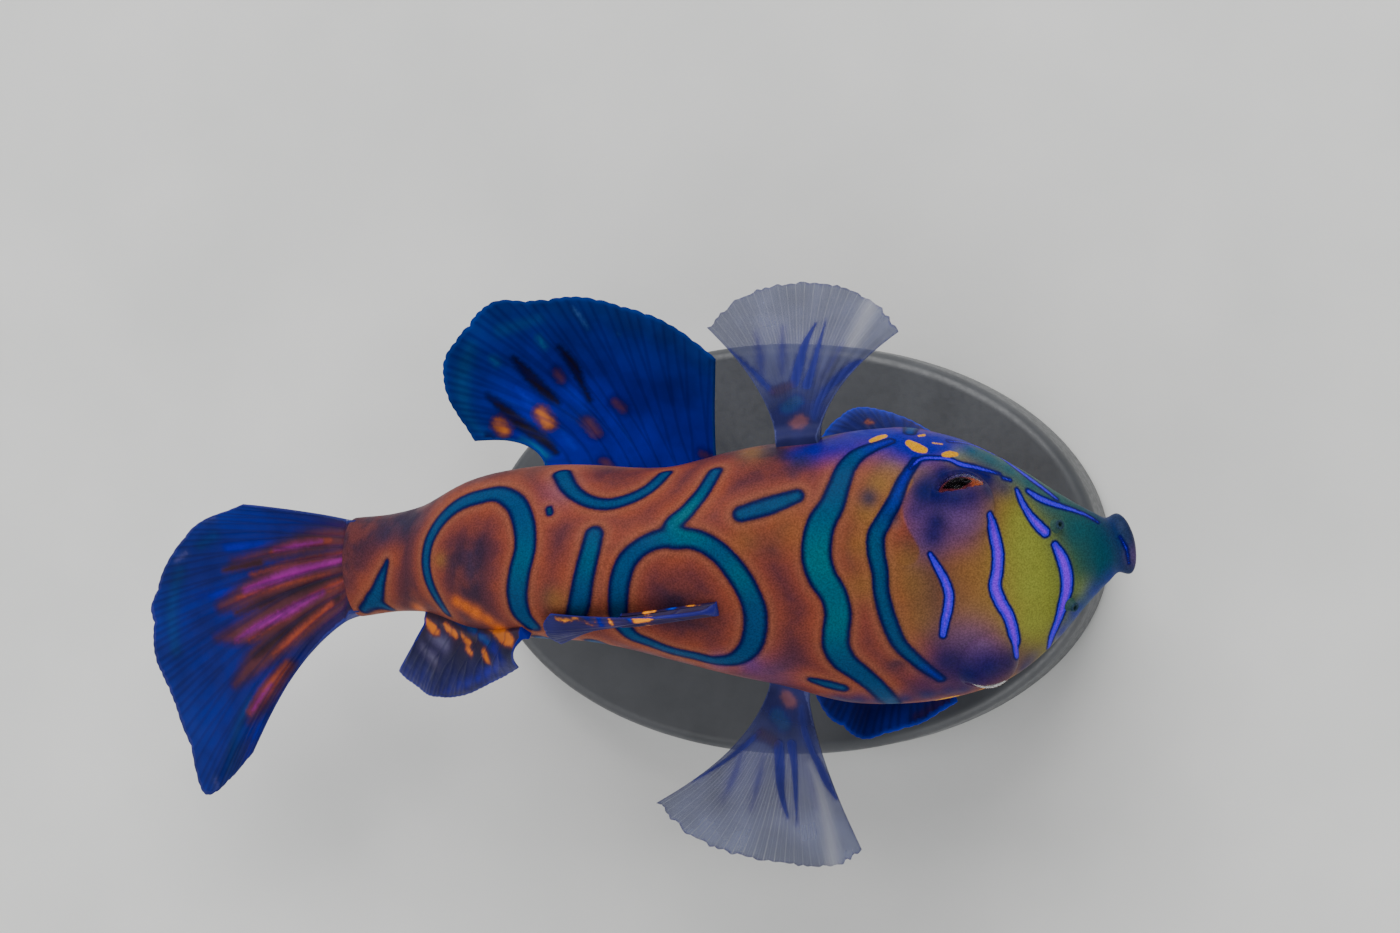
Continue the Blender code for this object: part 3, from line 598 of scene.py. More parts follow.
# Soft patches, airbrushed in puffs: picture x, y, radius in millimetres, strength
PATCHES = {
    "haze": (
        (922, 494, 0.9, 0.8), (938, 493, 1.1, 0.9), (955, 496, 0.9, 0.8), (972, 495, 0.9, 0.8),
        (988, 490, 0.8, 0.8), (1003, 487, 0.7, 0.6), (936, 522, 0.8, 0.85), (933, 536, 0.8, 0.8),
        (914, 512, 0.7, 0.5), (945, 662, 1.4, 0.85), (968, 676, 1.6, 0.95), (925, 684, 1.0, 0.5),
        (990, 668, 1.3, 0.85), (1010, 662, 1.2, 0.8), (1030, 660, 1.0, 0.6), (945, 473, 0.8, 0.8),
        (965, 474, 0.8, 0.8), (985, 476, 0.8, 0.8), (930, 480, 0.7, 0.6), (925, 490, 0.8, 0.95),
        (940, 498, 0.6, 0.4), (956, 498, 0.6, 0.4), (990, 488, 0.6, 0.5), (944, 476, 0.6, 0.9),
        (958, 474, 0.6, 0.95), (972, 474, 0.6, 0.95), (986, 477, 0.6, 0.9), (880, 701, 0.7, 0.9),
        (905, 699, 0.7, 0.9), (928, 695, 0.7, 0.8), (948, 690, 0.6, 0.7), (860, 700, 0.7, 0.8),
        (840, 699, 0.7, 0.7), (964, 690, 0.6, 0.7), (1024, 668, 0.7, 0.7)),
    "mauve": (
        (920, 512, 1.2, 0.8), (948, 514, 1.5, 0.9), (968, 510, 1.3, 0.7), (926, 540, 1.2, 0.6),
        (962, 530, 1.2, 0.5), (965, 642, 1.7, 0.6), (985, 652, 1.3, 0.6), (770, 675, 1.6, 0.35),
        (560, 490, 1.2, 0.3), (1136, 555, 0.7, 0.6), (1134, 570, 0.6, 0.6)),
    "green": (
        (822, 560, 2.6, 0.95), (836, 620, 2.0, 0.8), (690, 520, 1.8, 0.9), (740, 575, 1.4, 0.5),
        (592, 560, 1.4, 0.35), (523, 560, 1.8, 0.35), (549, 511, 0.8, 1.0)),
    "violet": (
        (914, 459, 1.3, 1.0), (902, 474, 1.3, 0.9), (900, 448, 1.3, 0.9), (940, 676, 0.8, 0.7),
        (892, 500, 1.2, 0.5), (886, 442, 1.0, 0.8), (872, 447, 0.8, 0.5), (930, 671, 0.8, 0.5)),
    "ochre": (
        (893, 466, 0.9, 0.8), (880, 484, 1.0, 0.8), (868, 512, 1.1, 0.7), (860, 545, 1.1, 0.5),
        (862, 585, 1.1, 0.5), (925, 472, 0.8, 0.8), (915, 480, 0.8, 0.6), (752, 452, 0.9, 0.5),
        (790, 530, 1.4, 0.3), (745, 540, 1.0, 0.3), (968, 570, 1.4, 0.5), (975, 610, 1.5, 0.7),
        (440, 560, 0.5, 0.5), (555, 600, 0.8, 0.5), (912, 585, 1.4, 0.55), (920, 620, 1.5, 0.55),
        (905, 560, 1.2, 0.5), (968, 640, 1.0, 0.4)),
    "lime": (
        (1032, 585, 2.0, 0.95), (1026, 548, 1.7, 0.9), (1032, 622, 1.5, 0.85), (1020, 522, 1.0, 0.6),
        (1082, 588, 0.8, 0.5), (954, 454, 0.8, 0.95)),
    "teal_face": (
        (972, 450, 1.1, 0.95), (990, 458, 1.2, 0.95), (1010, 468, 1.2, 0.95), (1030, 482, 1.0, 0.9),
        (1050, 500, 1.2, 0.8), (1075, 530, 1.4, 0.7), (1100, 560, 1.4, 0.5)),
    "blue_nape": (
        (916, 452, 0.9, 0.95), (932, 449, 0.9, 0.95), (945, 447, 0.7, 0.9), (905, 444, 1.2, 0.95),
        (893, 437, 1.2, 0.95), (880, 434, 1.4, 0.95), (862, 432, 1.4, 0.95), (842, 432, 1.6, 0.95),
        (820, 430, 1.6, 0.95), (798, 430, 1.5, 0.9), (776, 431, 1.4, 0.9), (755, 434, 1.2, 0.8),
        (850, 445, 1.0, 0.8), (833, 447, 1.0, 0.8), (815, 451, 0.9, 0.8), (798, 454, 0.7, 0.7),
        (925, 437, 1.0, 0.9), (938, 438, 1.0, 0.95), (950, 437, 1.0, 0.95), (961, 440, 0.8, 0.9),
        (972, 443, 0.6, 0.7), (750, 664, 0.8, 0.4), (790, 690, 1.4, 0.6), (720, 662, 0.7, 0.4),
        (1110, 578, 0.7, 0.5), (1094, 592, 0.8, 0.6), (1077, 612, 0.8, 0.7), (1062, 632, 0.8, 0.7),
        (1050, 648, 0.7, 0.6)),
    # Dark patches; the painted shade round the gill pores is added to these below.
    "dark_patch_and_pore_shade": (
        (470, 555, 0.5, 0.6), (470, 565, 0.5, 0.6), (470, 575, 0.5, 0.5), (869, 498, 0.6, 0.8),
        (800, 462, 0.7, 0.6), (775, 445, 0.8, 0.5), (793, 475, 0.4, 0.4), (385, 535, 0.9, 0.6),
        (400, 528, 0.9, 0.6), (420, 518, 0.8, 0.5)),
    "arch": (
        (457, 602, 0.4, 0.8), (466, 607, 0.4, 0.8), (476, 613, 0.5, 0.9), (488, 620, 0.4, 0.8),
        (499, 628, 0.5, 0.9), (420, 609, 0.5, 0.8), (508, 634, 0.4, 0.8)),
}
# The haze and the mauve end sharply along this route.
HAZE_EDGE = ((899, 480, 0.8), (889, 500, 0.8), (893, 528, 0.8), (906, 552, 0.8))

# Painted shade round each gill pore's hollow.
PORE_SHADE = (0.55, 0.6)      # radius and strength of the dark round a gill pore
BELLY_EDGE = np.radians((118, 160))
BELLY_START, BELLY_END, BELLY_PALE = (4, 10), (30, 42), 0.8   # stations, and a share
# Painted shade in the mouth's hollow: how dark each row within the lips is painted.
MOUTH_SHADE_PAINT = (1.0, 1.0, 0.8, 0.4, 0.1)    # of the rows within the lips, from the throat out
STEEP = 0.45                   # depth counted for marks on the steep sides of the head

points = skin_rows.reshape(-1, 3)
snout = np.repeat(row_stations, COLUMNS)
turn = np.tile(angles, len(row_stations))
turn = np.where(turn > math.pi, turn - math.tau, turn)

soft = {name: airbrushed(points, puffs) for name, puffs in PATCHES.items()}
behind = ease_between(outside(points, [seen(skin_tree, HAZE_EDGE)]), -0.05, 0.12)
soft["haze"] *= behind
soft["mauve"] *= behind
soft["lime"] *= 0.9
# Painted shade: the skin is darkened round each gill pore's hollow.
radius, strength = PORE_SHADE
for side in (1, -1):
    pore = apart(snout, turn, plain_radius(np.maximum(snout, 0), turn), GILL_PORE[0],
                 side * GILL_PORE[1])
    soft["dark_patch_and_pore_shade"] = np.maximum(soft["dark_patch_and_pore_shade"], strength * np.exp(-(pore / radius) ** 2))
belly = BELLY_PALE * ease_between(abs(turn), *BELLY_EDGE)
belly *= ease_between(snout, *BELLY_START) * (1 - ease_between(snout, *BELLY_END))
# Painted shade inside the mouth, kept on the skin as its inside value.
inside = np.zeros(len(row_stations))
inside[:len(MOUTH_SHADE_PAINT)] = MOUTH_SHADE_PAINT


def rise(tree, value, start, end, low=0.0, high=1.0):
    """A smooth step of a value from low to high."""
    return node(tree, "MapRange", {"Value": value, "From Min": start, "From Max": end,
                                   "To Min": low, "To Max": high},
                interpolation_type="SMOOTHSTEP")["Result"]


def over(tree, share, under, above, mode="MIX"):
    """The colour above, laid on the colour under by its share. Three numbers are a tint."""
    under, above = (tint(*value) if isinstance(value, tuple) else value for value in (under, above))
    return node(tree, "Mix", {0: share, 6: under, 7: above}, data_type="RGBA", blend_type=mode)[2]


def field(tree, name):
    """A value that a mesh keeps for each of its points."""
    return node(tree, "Attribute", attribute_name=name)["Fac"]


def unsteady(tree, per_metre, size):
    """A small offset that makes painted edges wander, with the cloud of the same mottle."""
    speck, drift = mottle(tree, per_metre)
    return calculate(tree, "MULTIPLY", calculate(tree, "ADD", speck, -0.5), size), drift


def stippled(tree, painted, grain, low, high):
    """The paint, darkened and lightened by a grain."""
    shade = rise(tree, grain, 0.3, 0.7, low, high)
    grey = node(tree, "CombineColor", {"Red": shade, "Green": shade, "Blue": shade})["Color"]
    return over(tree, 1.0, painted, grey, "MULTIPLY")


def finish(tree, shader, painted, relief, cloud, rough, strength, depth):
    """Wires the paint, a roughness that wanders between two values, and a faint relief."""
    wire(tree, shader, Base_Color=painted, Roughness=rise(tree, cloud, 0.3, 0.7, *rough),
         Normal=bump(tree, relief, strength, depth))


# Places are in millimetres from the nearest band's edge, and from the snout.
FLANK_STOPS = ((0.0, 76, 40, 44), (0.25, 134, 74, 56), (0.7, 122, 60, 50), (1.4, 90, 46, 52),
               (2.6, 56, 36, 54))
FACE_STOPS = ((0.0, 30, 36, 74), (0.7, 36, 50, 84), (1.2, 20, 40, 88), (2.8, 22, 62, 74),
              (4.2, 44, 80, 60), (6.4, 112, 108, 34), (8.6, 136, 100, 50), (11.0, 138, 80, 52))
# The tint (26, 36, 66) paints the dark patches and the painted shade round the gill pores.
PATCH_TINTS = (("belly", (176, 122, 92)), ("ochre", (134, 98, 46)), ("lime", (136, 144, 58)),
               ("teal_face", (10, 78, 92)), ("mauve", (98, 66, 118)), ("haze", (8, 14, 80)),
               ("blue_nape", (4, 6, 140)), ("dark_patch_and_pore_shade", (26, 36, 66)), ("arch", (214, 104, 20)))


def skin_material():
    """Airbrushed enamel under a thin gloss: ground, bands, stripes, spots, then a fine stipple."""
    material, tree, shader = new_material("painted_skin", Specular_IOR_Level=0.03, Coat_Weight=0.02,
                                          Coat_Roughness=0.25)
    grain, cloud = mottle(tree, 9000.0)
    wobble, drift = unsteady(tree, 4200.0, 0.09)
    band, stripe, spot = (calculate(tree, "ADD", field(tree, name), wobble)
                          for name in ("band", "stripe", "spot"))
    flank = ramp(tree, band, FLANK_STOPS, spread=4.0)
    flank = over(tree, rise(tree, drift, 0.42, 0.66), flank, over(tree, 0.3, flank, (148, 70, 42)))
    face = ramp(tree, field(tree, "snout"), FACE_STOPS, spread=20.0)
    painted = over(tree, rise(tree, field(tree, "snout"), 9.5, 14.0), face, flank)
    for name, colour in PATCH_TINTS:
        painted = over(tree, field(tree, name), painted, colour)

    core = over(tree, field(tree, "green"), (0, 60, 104), (2, 96, 108))
    core = over(tree, field(tree, "violet"), core, (16, 4, 150))
    for mark, start, end, colour in (
            (band, 0.08, -0.08, (2, 8, 70)), (band, -0.06, -0.42, core),
            (stripe, 0.14, -0.02, (8, 2, 84)), (stripe, -0.03, -0.13, (52, 0, 226)),
            (stripe, -0.16, -0.34, (126, 6, 250)), (spot, 0.03, -0.05, (212, 146, 0))):
        painted = over(tree, rise(tree, mark, start, end), painted, colour)
    # Painted shade: the mouth within the lips is laid over near black, darkest at the throat.
    painted = over(tree, field(tree, "inside"), painted, (24, 12, 30))
    finish(tree, shader, stippled(tree, painted, grain, 0.7, 1.12), grain, cloud, (0.36, 0.52),
           0.22, 0.00006)
    return material


SKIN = skin_material()
skin = new_piece("skin", points, grid_faces(len(row_stations), COLUMNS, True), SKIN,
                 "skin", "head", "trunk", "tail_stalk")
keep_on(skin, band=outside(points, bands),
        stripe=np.minimum(outside(points, stripes, melt=0.1, depth=STEEP),
                          outside(points, far_stripes, melt=0.1)),
        spot=np.minimum(outside(points, yellows, melt=0.05, depth=STEEP),
                        outside(points, far_yellows, melt=0.3)),
        snout=snout, belly=belly, inside=np.repeat(inside, COLUMNS), **soft)


# Eyes
# Each eye is a ball with an orange iris round a long black pupil, under a clear cornea. The model's
# are turned in enamelled resin and glass, set under the skin's dome, and look out and a little up.
IRIS_RADIUS, IRIS_SINK, IRIS_RISE = 1.4, 0.04, 0.48
PUPIL = (0.1, 0.66, 0.5, 1.3)   # set back, half length and half height in iris radii, roundness
BLOCK = (0.35, 0.65)           # where the iris turns orange ahead of the pupil, in its radii
CORNEA_APEX, CORNEA_WALL, CORNEA_REACH = 2.0, 0.07, 52   # the last in degrees off the gaze
EYE_SIDES, BALL_ROWS, CORNEA_ROWS = 96, 40, 26


def turned(profile, sides, centre, axis, first, second):
    """Rings of points round an axis, from rows of a radius, or of two, and a height."""
    about = np.arange(sides) * math.tau / sides
    cos, sin = np.cos(about)[:, None], np.sin(about)[:, None]
    return np.array([centre + axis * height + first * cos * radii[0] + second * sin * radii[-1]
                     for *radii, height in profile])


def arc(radius, first, last, steps, squash=1.0):
    """Pairs of radius and height on a circle, from one angle off its pole to another."""
    turns = np.radians(np.linspace(first, last, steps))
    return [(radius * math.sin(a), radius * squash * math.cos(a)) for a in turns]


def eye_materials():
    enamel, tree, shader = new_material("eye_enamel", Roughness=0.5, Specular_IOR_Level=0.02)
    ring = over(tree, field(tree, "block"), (74, 26, 34), (146, 68, 26))
    ring = over(tree, rise(tree, mottle(tree, 9000.0)[0], 0.45, 0.7), ring, (66, 22, 34))
    painted = over(tree, rise(tree, field(tree, "iris"), 0.98, 1.04), ring, (6, 10, 66))
    painted = over(tree, rise(tree, field(tree, "pupil"), 1.08, 0.94), painted, (4, 3, 6))
    wire(tree, shader, Base_Color=painted)
    glass, tree, shader = new_material("eye_glass", Base_Color=(1, 1, 1, 1), Roughness=0.1,
                                       Transmission_Weight=1.0, IOR=1.06)
    wire(tree, shader, Normal=bump(tree, mottle(tree, 700.0)[0], 0.02, 0.0001))
    return enamel, glass


ENAMEL, GLASS = eye_materials()
iris_edge = math.asin(IRIS_RADIUS / EYE_RADIUS)
iris_height = EYE_RADIUS * math.cos(iris_edge) - IRIS_SINK
ball = arc(EYE_RADIUS, 179, math.degrees(iris_edge), BALL_ROWS)
ball += [(IRIS_RADIUS * share, iris_height + IRIS_RISE * (1 - share * share))
         for share in np.linspace(0.98, 0.01, BALL_ROWS)]
squash = CORNEA_APEX / EYE_RADIUS
cornea = arc(EYE_RADIUS, CORNEA_REACH, 1, CORNEA_ROWS, squash)
cornea += arc(EYE_RADIUS - CORNEA_WALL, 1, CORNEA_REACH, CORNEA_ROWS, squash)
back, half_length, half_height, point = PUPIL
for side, name in ((1, "eye_left"), (-1, "eye_right")):
    centre, gaze, forward, upward = eye_frame(side)
    rings = turned(ball, EYE_SIDES, centre, gaze, forward, upward * side)
    made = new_piece(name + "_ball", rings, grid_faces(*rings.shape[:2], True)[:, ::-1], ENAMEL,
                     "eye", name)
    away = rings.reshape(-1, 3) - centre
    ahead, high = away @ forward / IRIS_RADIUS, away @ upward / IRIS_RADIUS
    pupil = (abs((ahead + back) / half_length) ** point
             + abs(high / half_height) ** point) ** (1 / point)
    front = away @ gaze > 0
    keep_on(made, iris=np.where(front, np.hypot(ahead, high), FAR),
            pupil=np.where(front, pupil, FAR), block=ease_between(ahead, *BLOCK))
    rings = turned(cornea, EYE_SIDES, centre, gaze, forward, upward * side)
    new_piece(name + "_cornea", rings, grid_faces(*rings.shape[:2], True)[:, ::-1], GLASS, "eye")


# Nostrils
# One short skin tube stands in front of each eye. The model's are cast with the skin, hollow at
# their tips, and let into it by their feet.
NOSTRIL_STATION, NOSTRIL_ANGLE = 5.0, math.radians(40)
NOSTRIL = ((0.62, -0.35), (0.5, -0.08), (0.36, 0.12), (0.3, 0.32), (0.3, 0.45), (0.26, 0.5),
           (0.19, 0.49), (0.15, 0.42), (0.14, 0.2), (0.02, 0.15))   # radius, height
TUBE_SIDES = 40
TIP_HAZE = (0.2, 0.5)          # heights over which the blue comes in
for side, name in ((1, "nostril_left"), (-1, "nostril_right")):
    at, turn = np.array([NOSTRIL_STATION]), np.array([side * NOSTRIL_ANGLE])
    root, normal = skin_points(at, turn)[0], skin_normals(at, turn)[0]
    sideways = unit(np.cross(normal, (0.0, 0.0, 1.0)))
    rings = turned(NOSTRIL, TUBE_SIDES, root, normal, sideways, np.cross(normal, sideways))
    made = new_piece(name, rings, grid_faces(*rings.shape[:2], True), SKIN, "skin")
    heights = np.repeat([height for _, height in NOSTRIL], TUBE_SIDES)
    unmarked = np.full(len(heights), FAR)
    keep_on(made, band=unmarked, stripe=unmarked, spot=unmarked,
            snout=np.full(len(heights), NOSTRIL_STATION), teal_face=np.full(len(heights), 0.5),
            haze=ease_between(heights, *TIP_HAZE) * 0.5)


# Tail fin
# A fan of branched bony rays with thin skin between them, let into the end of the tail. The
# model's fins are cast in resin, ridged over every ray, and painted alike on both faces.
RAY_KNEE = 0.4                 # how far along a ray its bend lies
ROOT_LIFT, ROOT_SINK = 0.3, 0.75   # of a ray's start over the skin, and of its root below that
SINK_ROWS = 6
FORKS = ((0.23, 0.28, 0.62), (0.11, 0.6, 0.95))   # reach in ray steps, from and to along a ray
MEMBRANE_HALF, RIDGE, RIDGE_HALF = 0.06, 0.07, 0.13
RIDGE_TAPER, RIM_TAPER = 0.65, 0.6     # share of the thickness lost towards the margin
RIM_START, ROOT_END, WAVE_START = 0.9, 0.16, (0.1, 0.6)   # along a ray
NOTCH = 2.6                    # how sharply the margin dips between two rays


def read_along(values, places):
    """A short given row of values, read smoothly at places from 0 to 1."""
    values = np.array(values, float).reshape(len(values), -1)
    return read_rows(np.column_stack((np.linspace(0, 1, len(values)), values)), places)


def from_ray(place, along):
    """How far a place lies from the nearest ray or branch of one, in steps between rays."""
    gap = abs(place - np.round(place))
    for reach, start, end in FORKS:
        gap = abs(gap - reach * ease_between(along, start, end))
    return gap


def fin_sheet(starts, tips, rays, rows=56, per_ray=18, scallop=0.02, ragged=0.012, billow=0.05,
              seed=1):
    """The middle of a fin, row by row from inside the skin out to its margin.

    starts(places) gives each ray's root, the skin's normal there and the way the ray leaves it.
    """
    places = np.linspace(0, 1, (rays - 1) * per_ray + 1)
    steps = places * (rays - 1)
    roots, normals, leads = starts(places)
    ends = in_plan(read_along(tips, places))
    draw = np.random.default_rng(seed)
    uneven = np.interp(steps, np.arange(0, rays, 0.5), draw.uniform(-1, 1, 2 * rays))
    dip = np.sin(from_ray(steps, np.ones(len(steps))) * NOTCH) ** 2
    reach = 1 - scallop * dip + ragged * uneven
    along = np.linspace(0, 1, rows)[:, None] * np.ones(len(places))
    part = (along * reach)[..., None]
    knees = roots + unit(leads) * np.linalg.norm(ends - roots, axis=1)[:, None] * RAY_KNEE
    sheet = roots * (1 - part) ** 2 + knees * 2 * part * (1 - part) + ends * part ** 2
    sunk = roots - normals * ROOT_SINK * np.linspace(1, 0, SINK_ROWS, endpoint=False)[:, None, None]
    sheet = np.concatenate((sunk, sheet))
    along = np.concatenate((np.zeros((SINK_ROWS, len(places))), along))
    across = np.gradient(sheet, axis=1)
    facing = unit(np.cross(across, np.gradient(sheet, axis=0)))
    width = np.linalg.norm(across, axis=2) * per_ray
    wave = np.sin(steps * math.pi) * billow * ease_between(along, *WAVE_START)
    sheet = sheet + facing * wave[..., None]
    ray = from_ray(steps[None, :], along) * width
    sides = np.minimum(steps, rays - 1 - steps)[None, :] * width
    rim = np.minimum(sides, (1 - along) * np.linalg.norm(ends - roots, axis=1)[None, :])
    return {"sheet": sheet, "facing": facing, "along": along, "ray": ray, "rim": rim,
            "tree": BVHTree.FromPolygons(sheet.reshape(-1, 3).tolist(),
                                         grid_faces(*sheet.shape[:2], False).tolist())}


def seen_on(fin, route):
    return seen(fin["tree"], route)


def painted_on(fin, strokes, lay=seen_on, melt=0.15):
    """How far each point of a fin's sheet lies outside the routes of each stroke."""
    middle = fin["sheet"].reshape(-1, 3)
    return {name: outside(middle, [lay(fin, route) for route in routes], melt=melt)
            for name, *_, routes in strokes}


def make_fin(name, fin, root_half, material, slot, marks, ridge=RIDGE):
    """Gives a fin's sheet its two faces and its rim, and keeps what is painted on it."""
    sheet, along = fin["sheet"], fin["along"]
    half = MEMBRANE_HALF * (1 - RIM_TAPER * ease_between(along, RIM_START, 1))
    half += ridge * (1 - RIDGE_TAPER * along) * np.exp(-(fin["ray"] / RIDGE_HALF) ** 2)
    half += (root_half - half) * (1 - ease_between(along, 0, ROOT_END)) ** 2
    shift = fin["facing"] * half[..., None]
    rows, columns = along.shape
    count = rows * columns
    faces = grid_faces(rows, columns, False)
    rim = np.concatenate((np.arange(columns), np.arange(1, rows) * columns + columns - 1,
                          count - 2 - np.arange(columns - 1),
                          np.arange(rows - 2, 0, -1) * columns))
    ahead = np.roll(rim, -1)
    faces = np.concatenate((faces, faces[:, ::-1] + count,
                            np.stack((rim, rim + count, ahead + count, ahead), axis=1)))
    made = new_piece(name + "_skin", np.stack((sheet + shift, sheet - shift)), faces, material,
                     slot, name)
    values = {key: fin[key].ravel() for key in ("along", "ray", "rim")} | marks
    keep_on(made, **{key: np.tile(value, 2) for key, value in values.items()})


def fin_material(name, stops, ray_tint, rim_tint, strokes, ray_share=0.35, rim_width=0.25,
                 **values):
    """Painted resin: colour along the rays, the rays themselves, strokes, then the margin."""
    material, tree, shader = new_material(name, **{"Specular_IOR_Level": 0.1, "Coat_Weight": 0.03,
                                                   "Coat_Roughness": 0.15, **values})
    grain, cloud = mottle(tree, 7000.0)
    wobble, drift = unsteady(tree, 3600.0, 0.3)
    painted = ramp(tree, field(tree, "along"), stops)
    for stroke, edge_tint, core_tint, soft_edge, _ in strokes:
        away = calculate(tree, "ADD", field(tree, stroke), wobble)
        painted = over(tree, rise(tree, away, soft_edge, -soft_edge), painted, edge_tint)
        painted = over(tree, rise(tree, away, 0.0, -soft_edge * 2), painted, core_tint)
    on_ray = rise(tree, field(tree, "ray"), 0.2, 0.04, 0.0, ray_share)
    painted = over(tree, on_ray, painted, ray_tint)
    rim = calculate(tree, "ADD", field(tree, "rim"), wobble)
    painted = over(tree, rise(tree, rim, rim_width, rim_width * 0.3), painted, rim_tint)
    finish(tree, shader, stippled(tree, painted, drift, 0.7, 1.15), grain, cloud, (0.38, 0.54),
           0.25, 0.00005)
    return material, tree, shader


def tail_starts(places):
    middle, forward, back, _ = body_frames(np.full(len(places), TAIL_END))
    high = (2 * places - 1)[:, None] * SECTIONS[-1, 2] * 0.93
    return middle - forward * ROOT_LIFT + back * high, -forward, -forward + back * high * 0.09


TAIL_TIPS = ((-27.2, 4.1, -17.0), (-30.6, 2.3, -19.2), (-32.6, -1.6, -21.4), (-32.5, -5.4, -22.0),
             (-30.9, -9.0, -22.0), (-29.3, -13.9, -21.6), (-26.5, -11.4, -20.8))
tail_fin = fin_sheet(tail_starts, TAIL_TIPS, 12, rows=80, seed=3)
# Strokes are painted in this order. Each row holds its name, the tints of its edge and of its
# core, how soft its edge is, and its routes of picture x, picture y and half width.
TAIL_STROKES = (
    ("teal", (0, 26, 100), (0, 42, 104), 0.4, (
        ((180, 570, 0.6), (172, 610, 0.7), (176, 650, 0.6)),
        ((250, 700, 0.4), (238, 730, 0.5), (228, 770, 0.3)), ((200, 545, 0.5), (215, 535, 0.5)))),
    ("bright", (0, 2, 112), (2, 0, 144), 0.3, (
        ((263, 708, 0.22), (256, 732, 0.44), (248, 754, 0.44), (241, 776, 0.24)),
        ((244, 586, 0.3), (222, 592, 0.5), (199, 596, 0.3)), ((240, 638, 0.26), (228, 644, 0.2)),
        ((272, 542, 0.3), (228, 548, 0.46)))),
    ("pale", (30, 40, 112), (84, 82, 146), 0.3, (
        ((176, 561, 0.26), (186, 553, 0.3)), ((216, 780, 0.3), (218, 798, 0.34)),
        ((204, 521, 0.2), (214, 517, 0.24)))),
    ("ember", (40, 16, 70), (78, 36, 46), 0.36, (
        ((372, 536, 0.9), (320, 541, 0.95), (272, 553, 0.6), (234, 562, 0.34)),
        ((372, 562, 1.4), (310, 572, 1.4), (258, 590, 1.1), (222, 606, 0.5)),
        ((366, 580, 1.2), (300, 605, 1.5), (252, 630, 1.1), (218, 638, 0.34)),
        ((352, 596, 0.7), (300, 630, 1.0), (262, 656, 1.0), (236, 684, 0.4)),
        ((292, 664, 0.5), (268, 696, 0.6), (250, 722, 0.22)), ((299, 673, 0.3), (283, 708, 0.28)))),
    ("brown", (56, 24, 36), (36, 16, 26), 0.25, (
        ((345, 576, 0.3), (331, 579, 0.34), (264, 602, 0.34), (237, 613, 0.2)),
        ((340, 598, 0.3), (286, 633, 0.4), (255, 656, 0.3)), ((260, 562, 0.3), (225, 570, 0.2)))),
    ("orange", (92, 36, 38), (146, 62, 40), 0.24, (
        ((350, 552, 0.16), (326, 559, 0.26), (290, 566, 0.3), (253, 575, 0.2)),
        ((330, 573, 0.14), (309, 578, 0.26), (270, 588, 0.28), (238, 598, 0.2)),
        ((356, 578, 0.26), (335, 586, 0.36), (312, 595, 0.2)),
        ((300, 612, 0.12), (276, 625, 0.2), (250, 640, 0.14)),
        ((332, 604, 0.3), (300, 632, 0.42), (274, 654, 0.2)),
        ((330, 540, 0.3), (300, 545, 0.3), (272, 552, 0.2)),
        ((288, 664, 0.3), (266, 690, 0.44), (250, 712, 0.26)),
        ((296, 678, 0.22), (288, 698, 0.3), (277, 716, 0.14)))),
    ("magenta", (104, 26, 86), (142, 26, 132), 0.22, (
        ((360, 556, 0.24), (326, 564, 0.34), (286, 575, 0.44), (246, 590, 0.26)),
        ((324, 592, 0.2), (286, 613, 0.38), (255, 628, 0.3), (237, 640, 0.16)),
        ((322, 541, 0.16), (300, 545, 0.26), (276, 550, 0.16)),
        ((272, 684, 0.12), (258, 702, 0.2), (252, 712, 0.12)))),
)
TAIL_STOPS = ((0.0, 40, 20, 52), (0.25, 20, 10, 76), (0.5, 2, 8, 104), (0.85, 0, 16, 110),
              (1.0, 4, 26, 114))      # share of the way out, tint
TAIL_PAINT = fin_material("tail_fin_paint", TAIL_STOPS, (0, 4, 60), (40, 44, 116), TAIL_STROKES)[0]
make_fin("caudal_fin", tail_fin, 0.8, TAIL_PAINT, "fin", painted_on(tail_fin, TAIL_STROKES))


# Anal fin
# The large fin under the tail, swung out to the fish's left and spread wide. It is a resin sheet
# over branched rays like the tail fin, rooted along the belly.
def midline(first, last, angle, normal_share, back_share):
    """Where the rays of a fin on the back or the belly start, from its first to its last."""
    def starts(places):
        at = first + (last - first) * places
        turn = np.full(len(places), angle)
        normals, forward = skin_normals(at, turn), body_frames(at)[1]
        roots = skin_points(at, turn) + normals * ROOT_LIFT
        return roots, normals, normals * normal_share - forward * back_share
    return starts


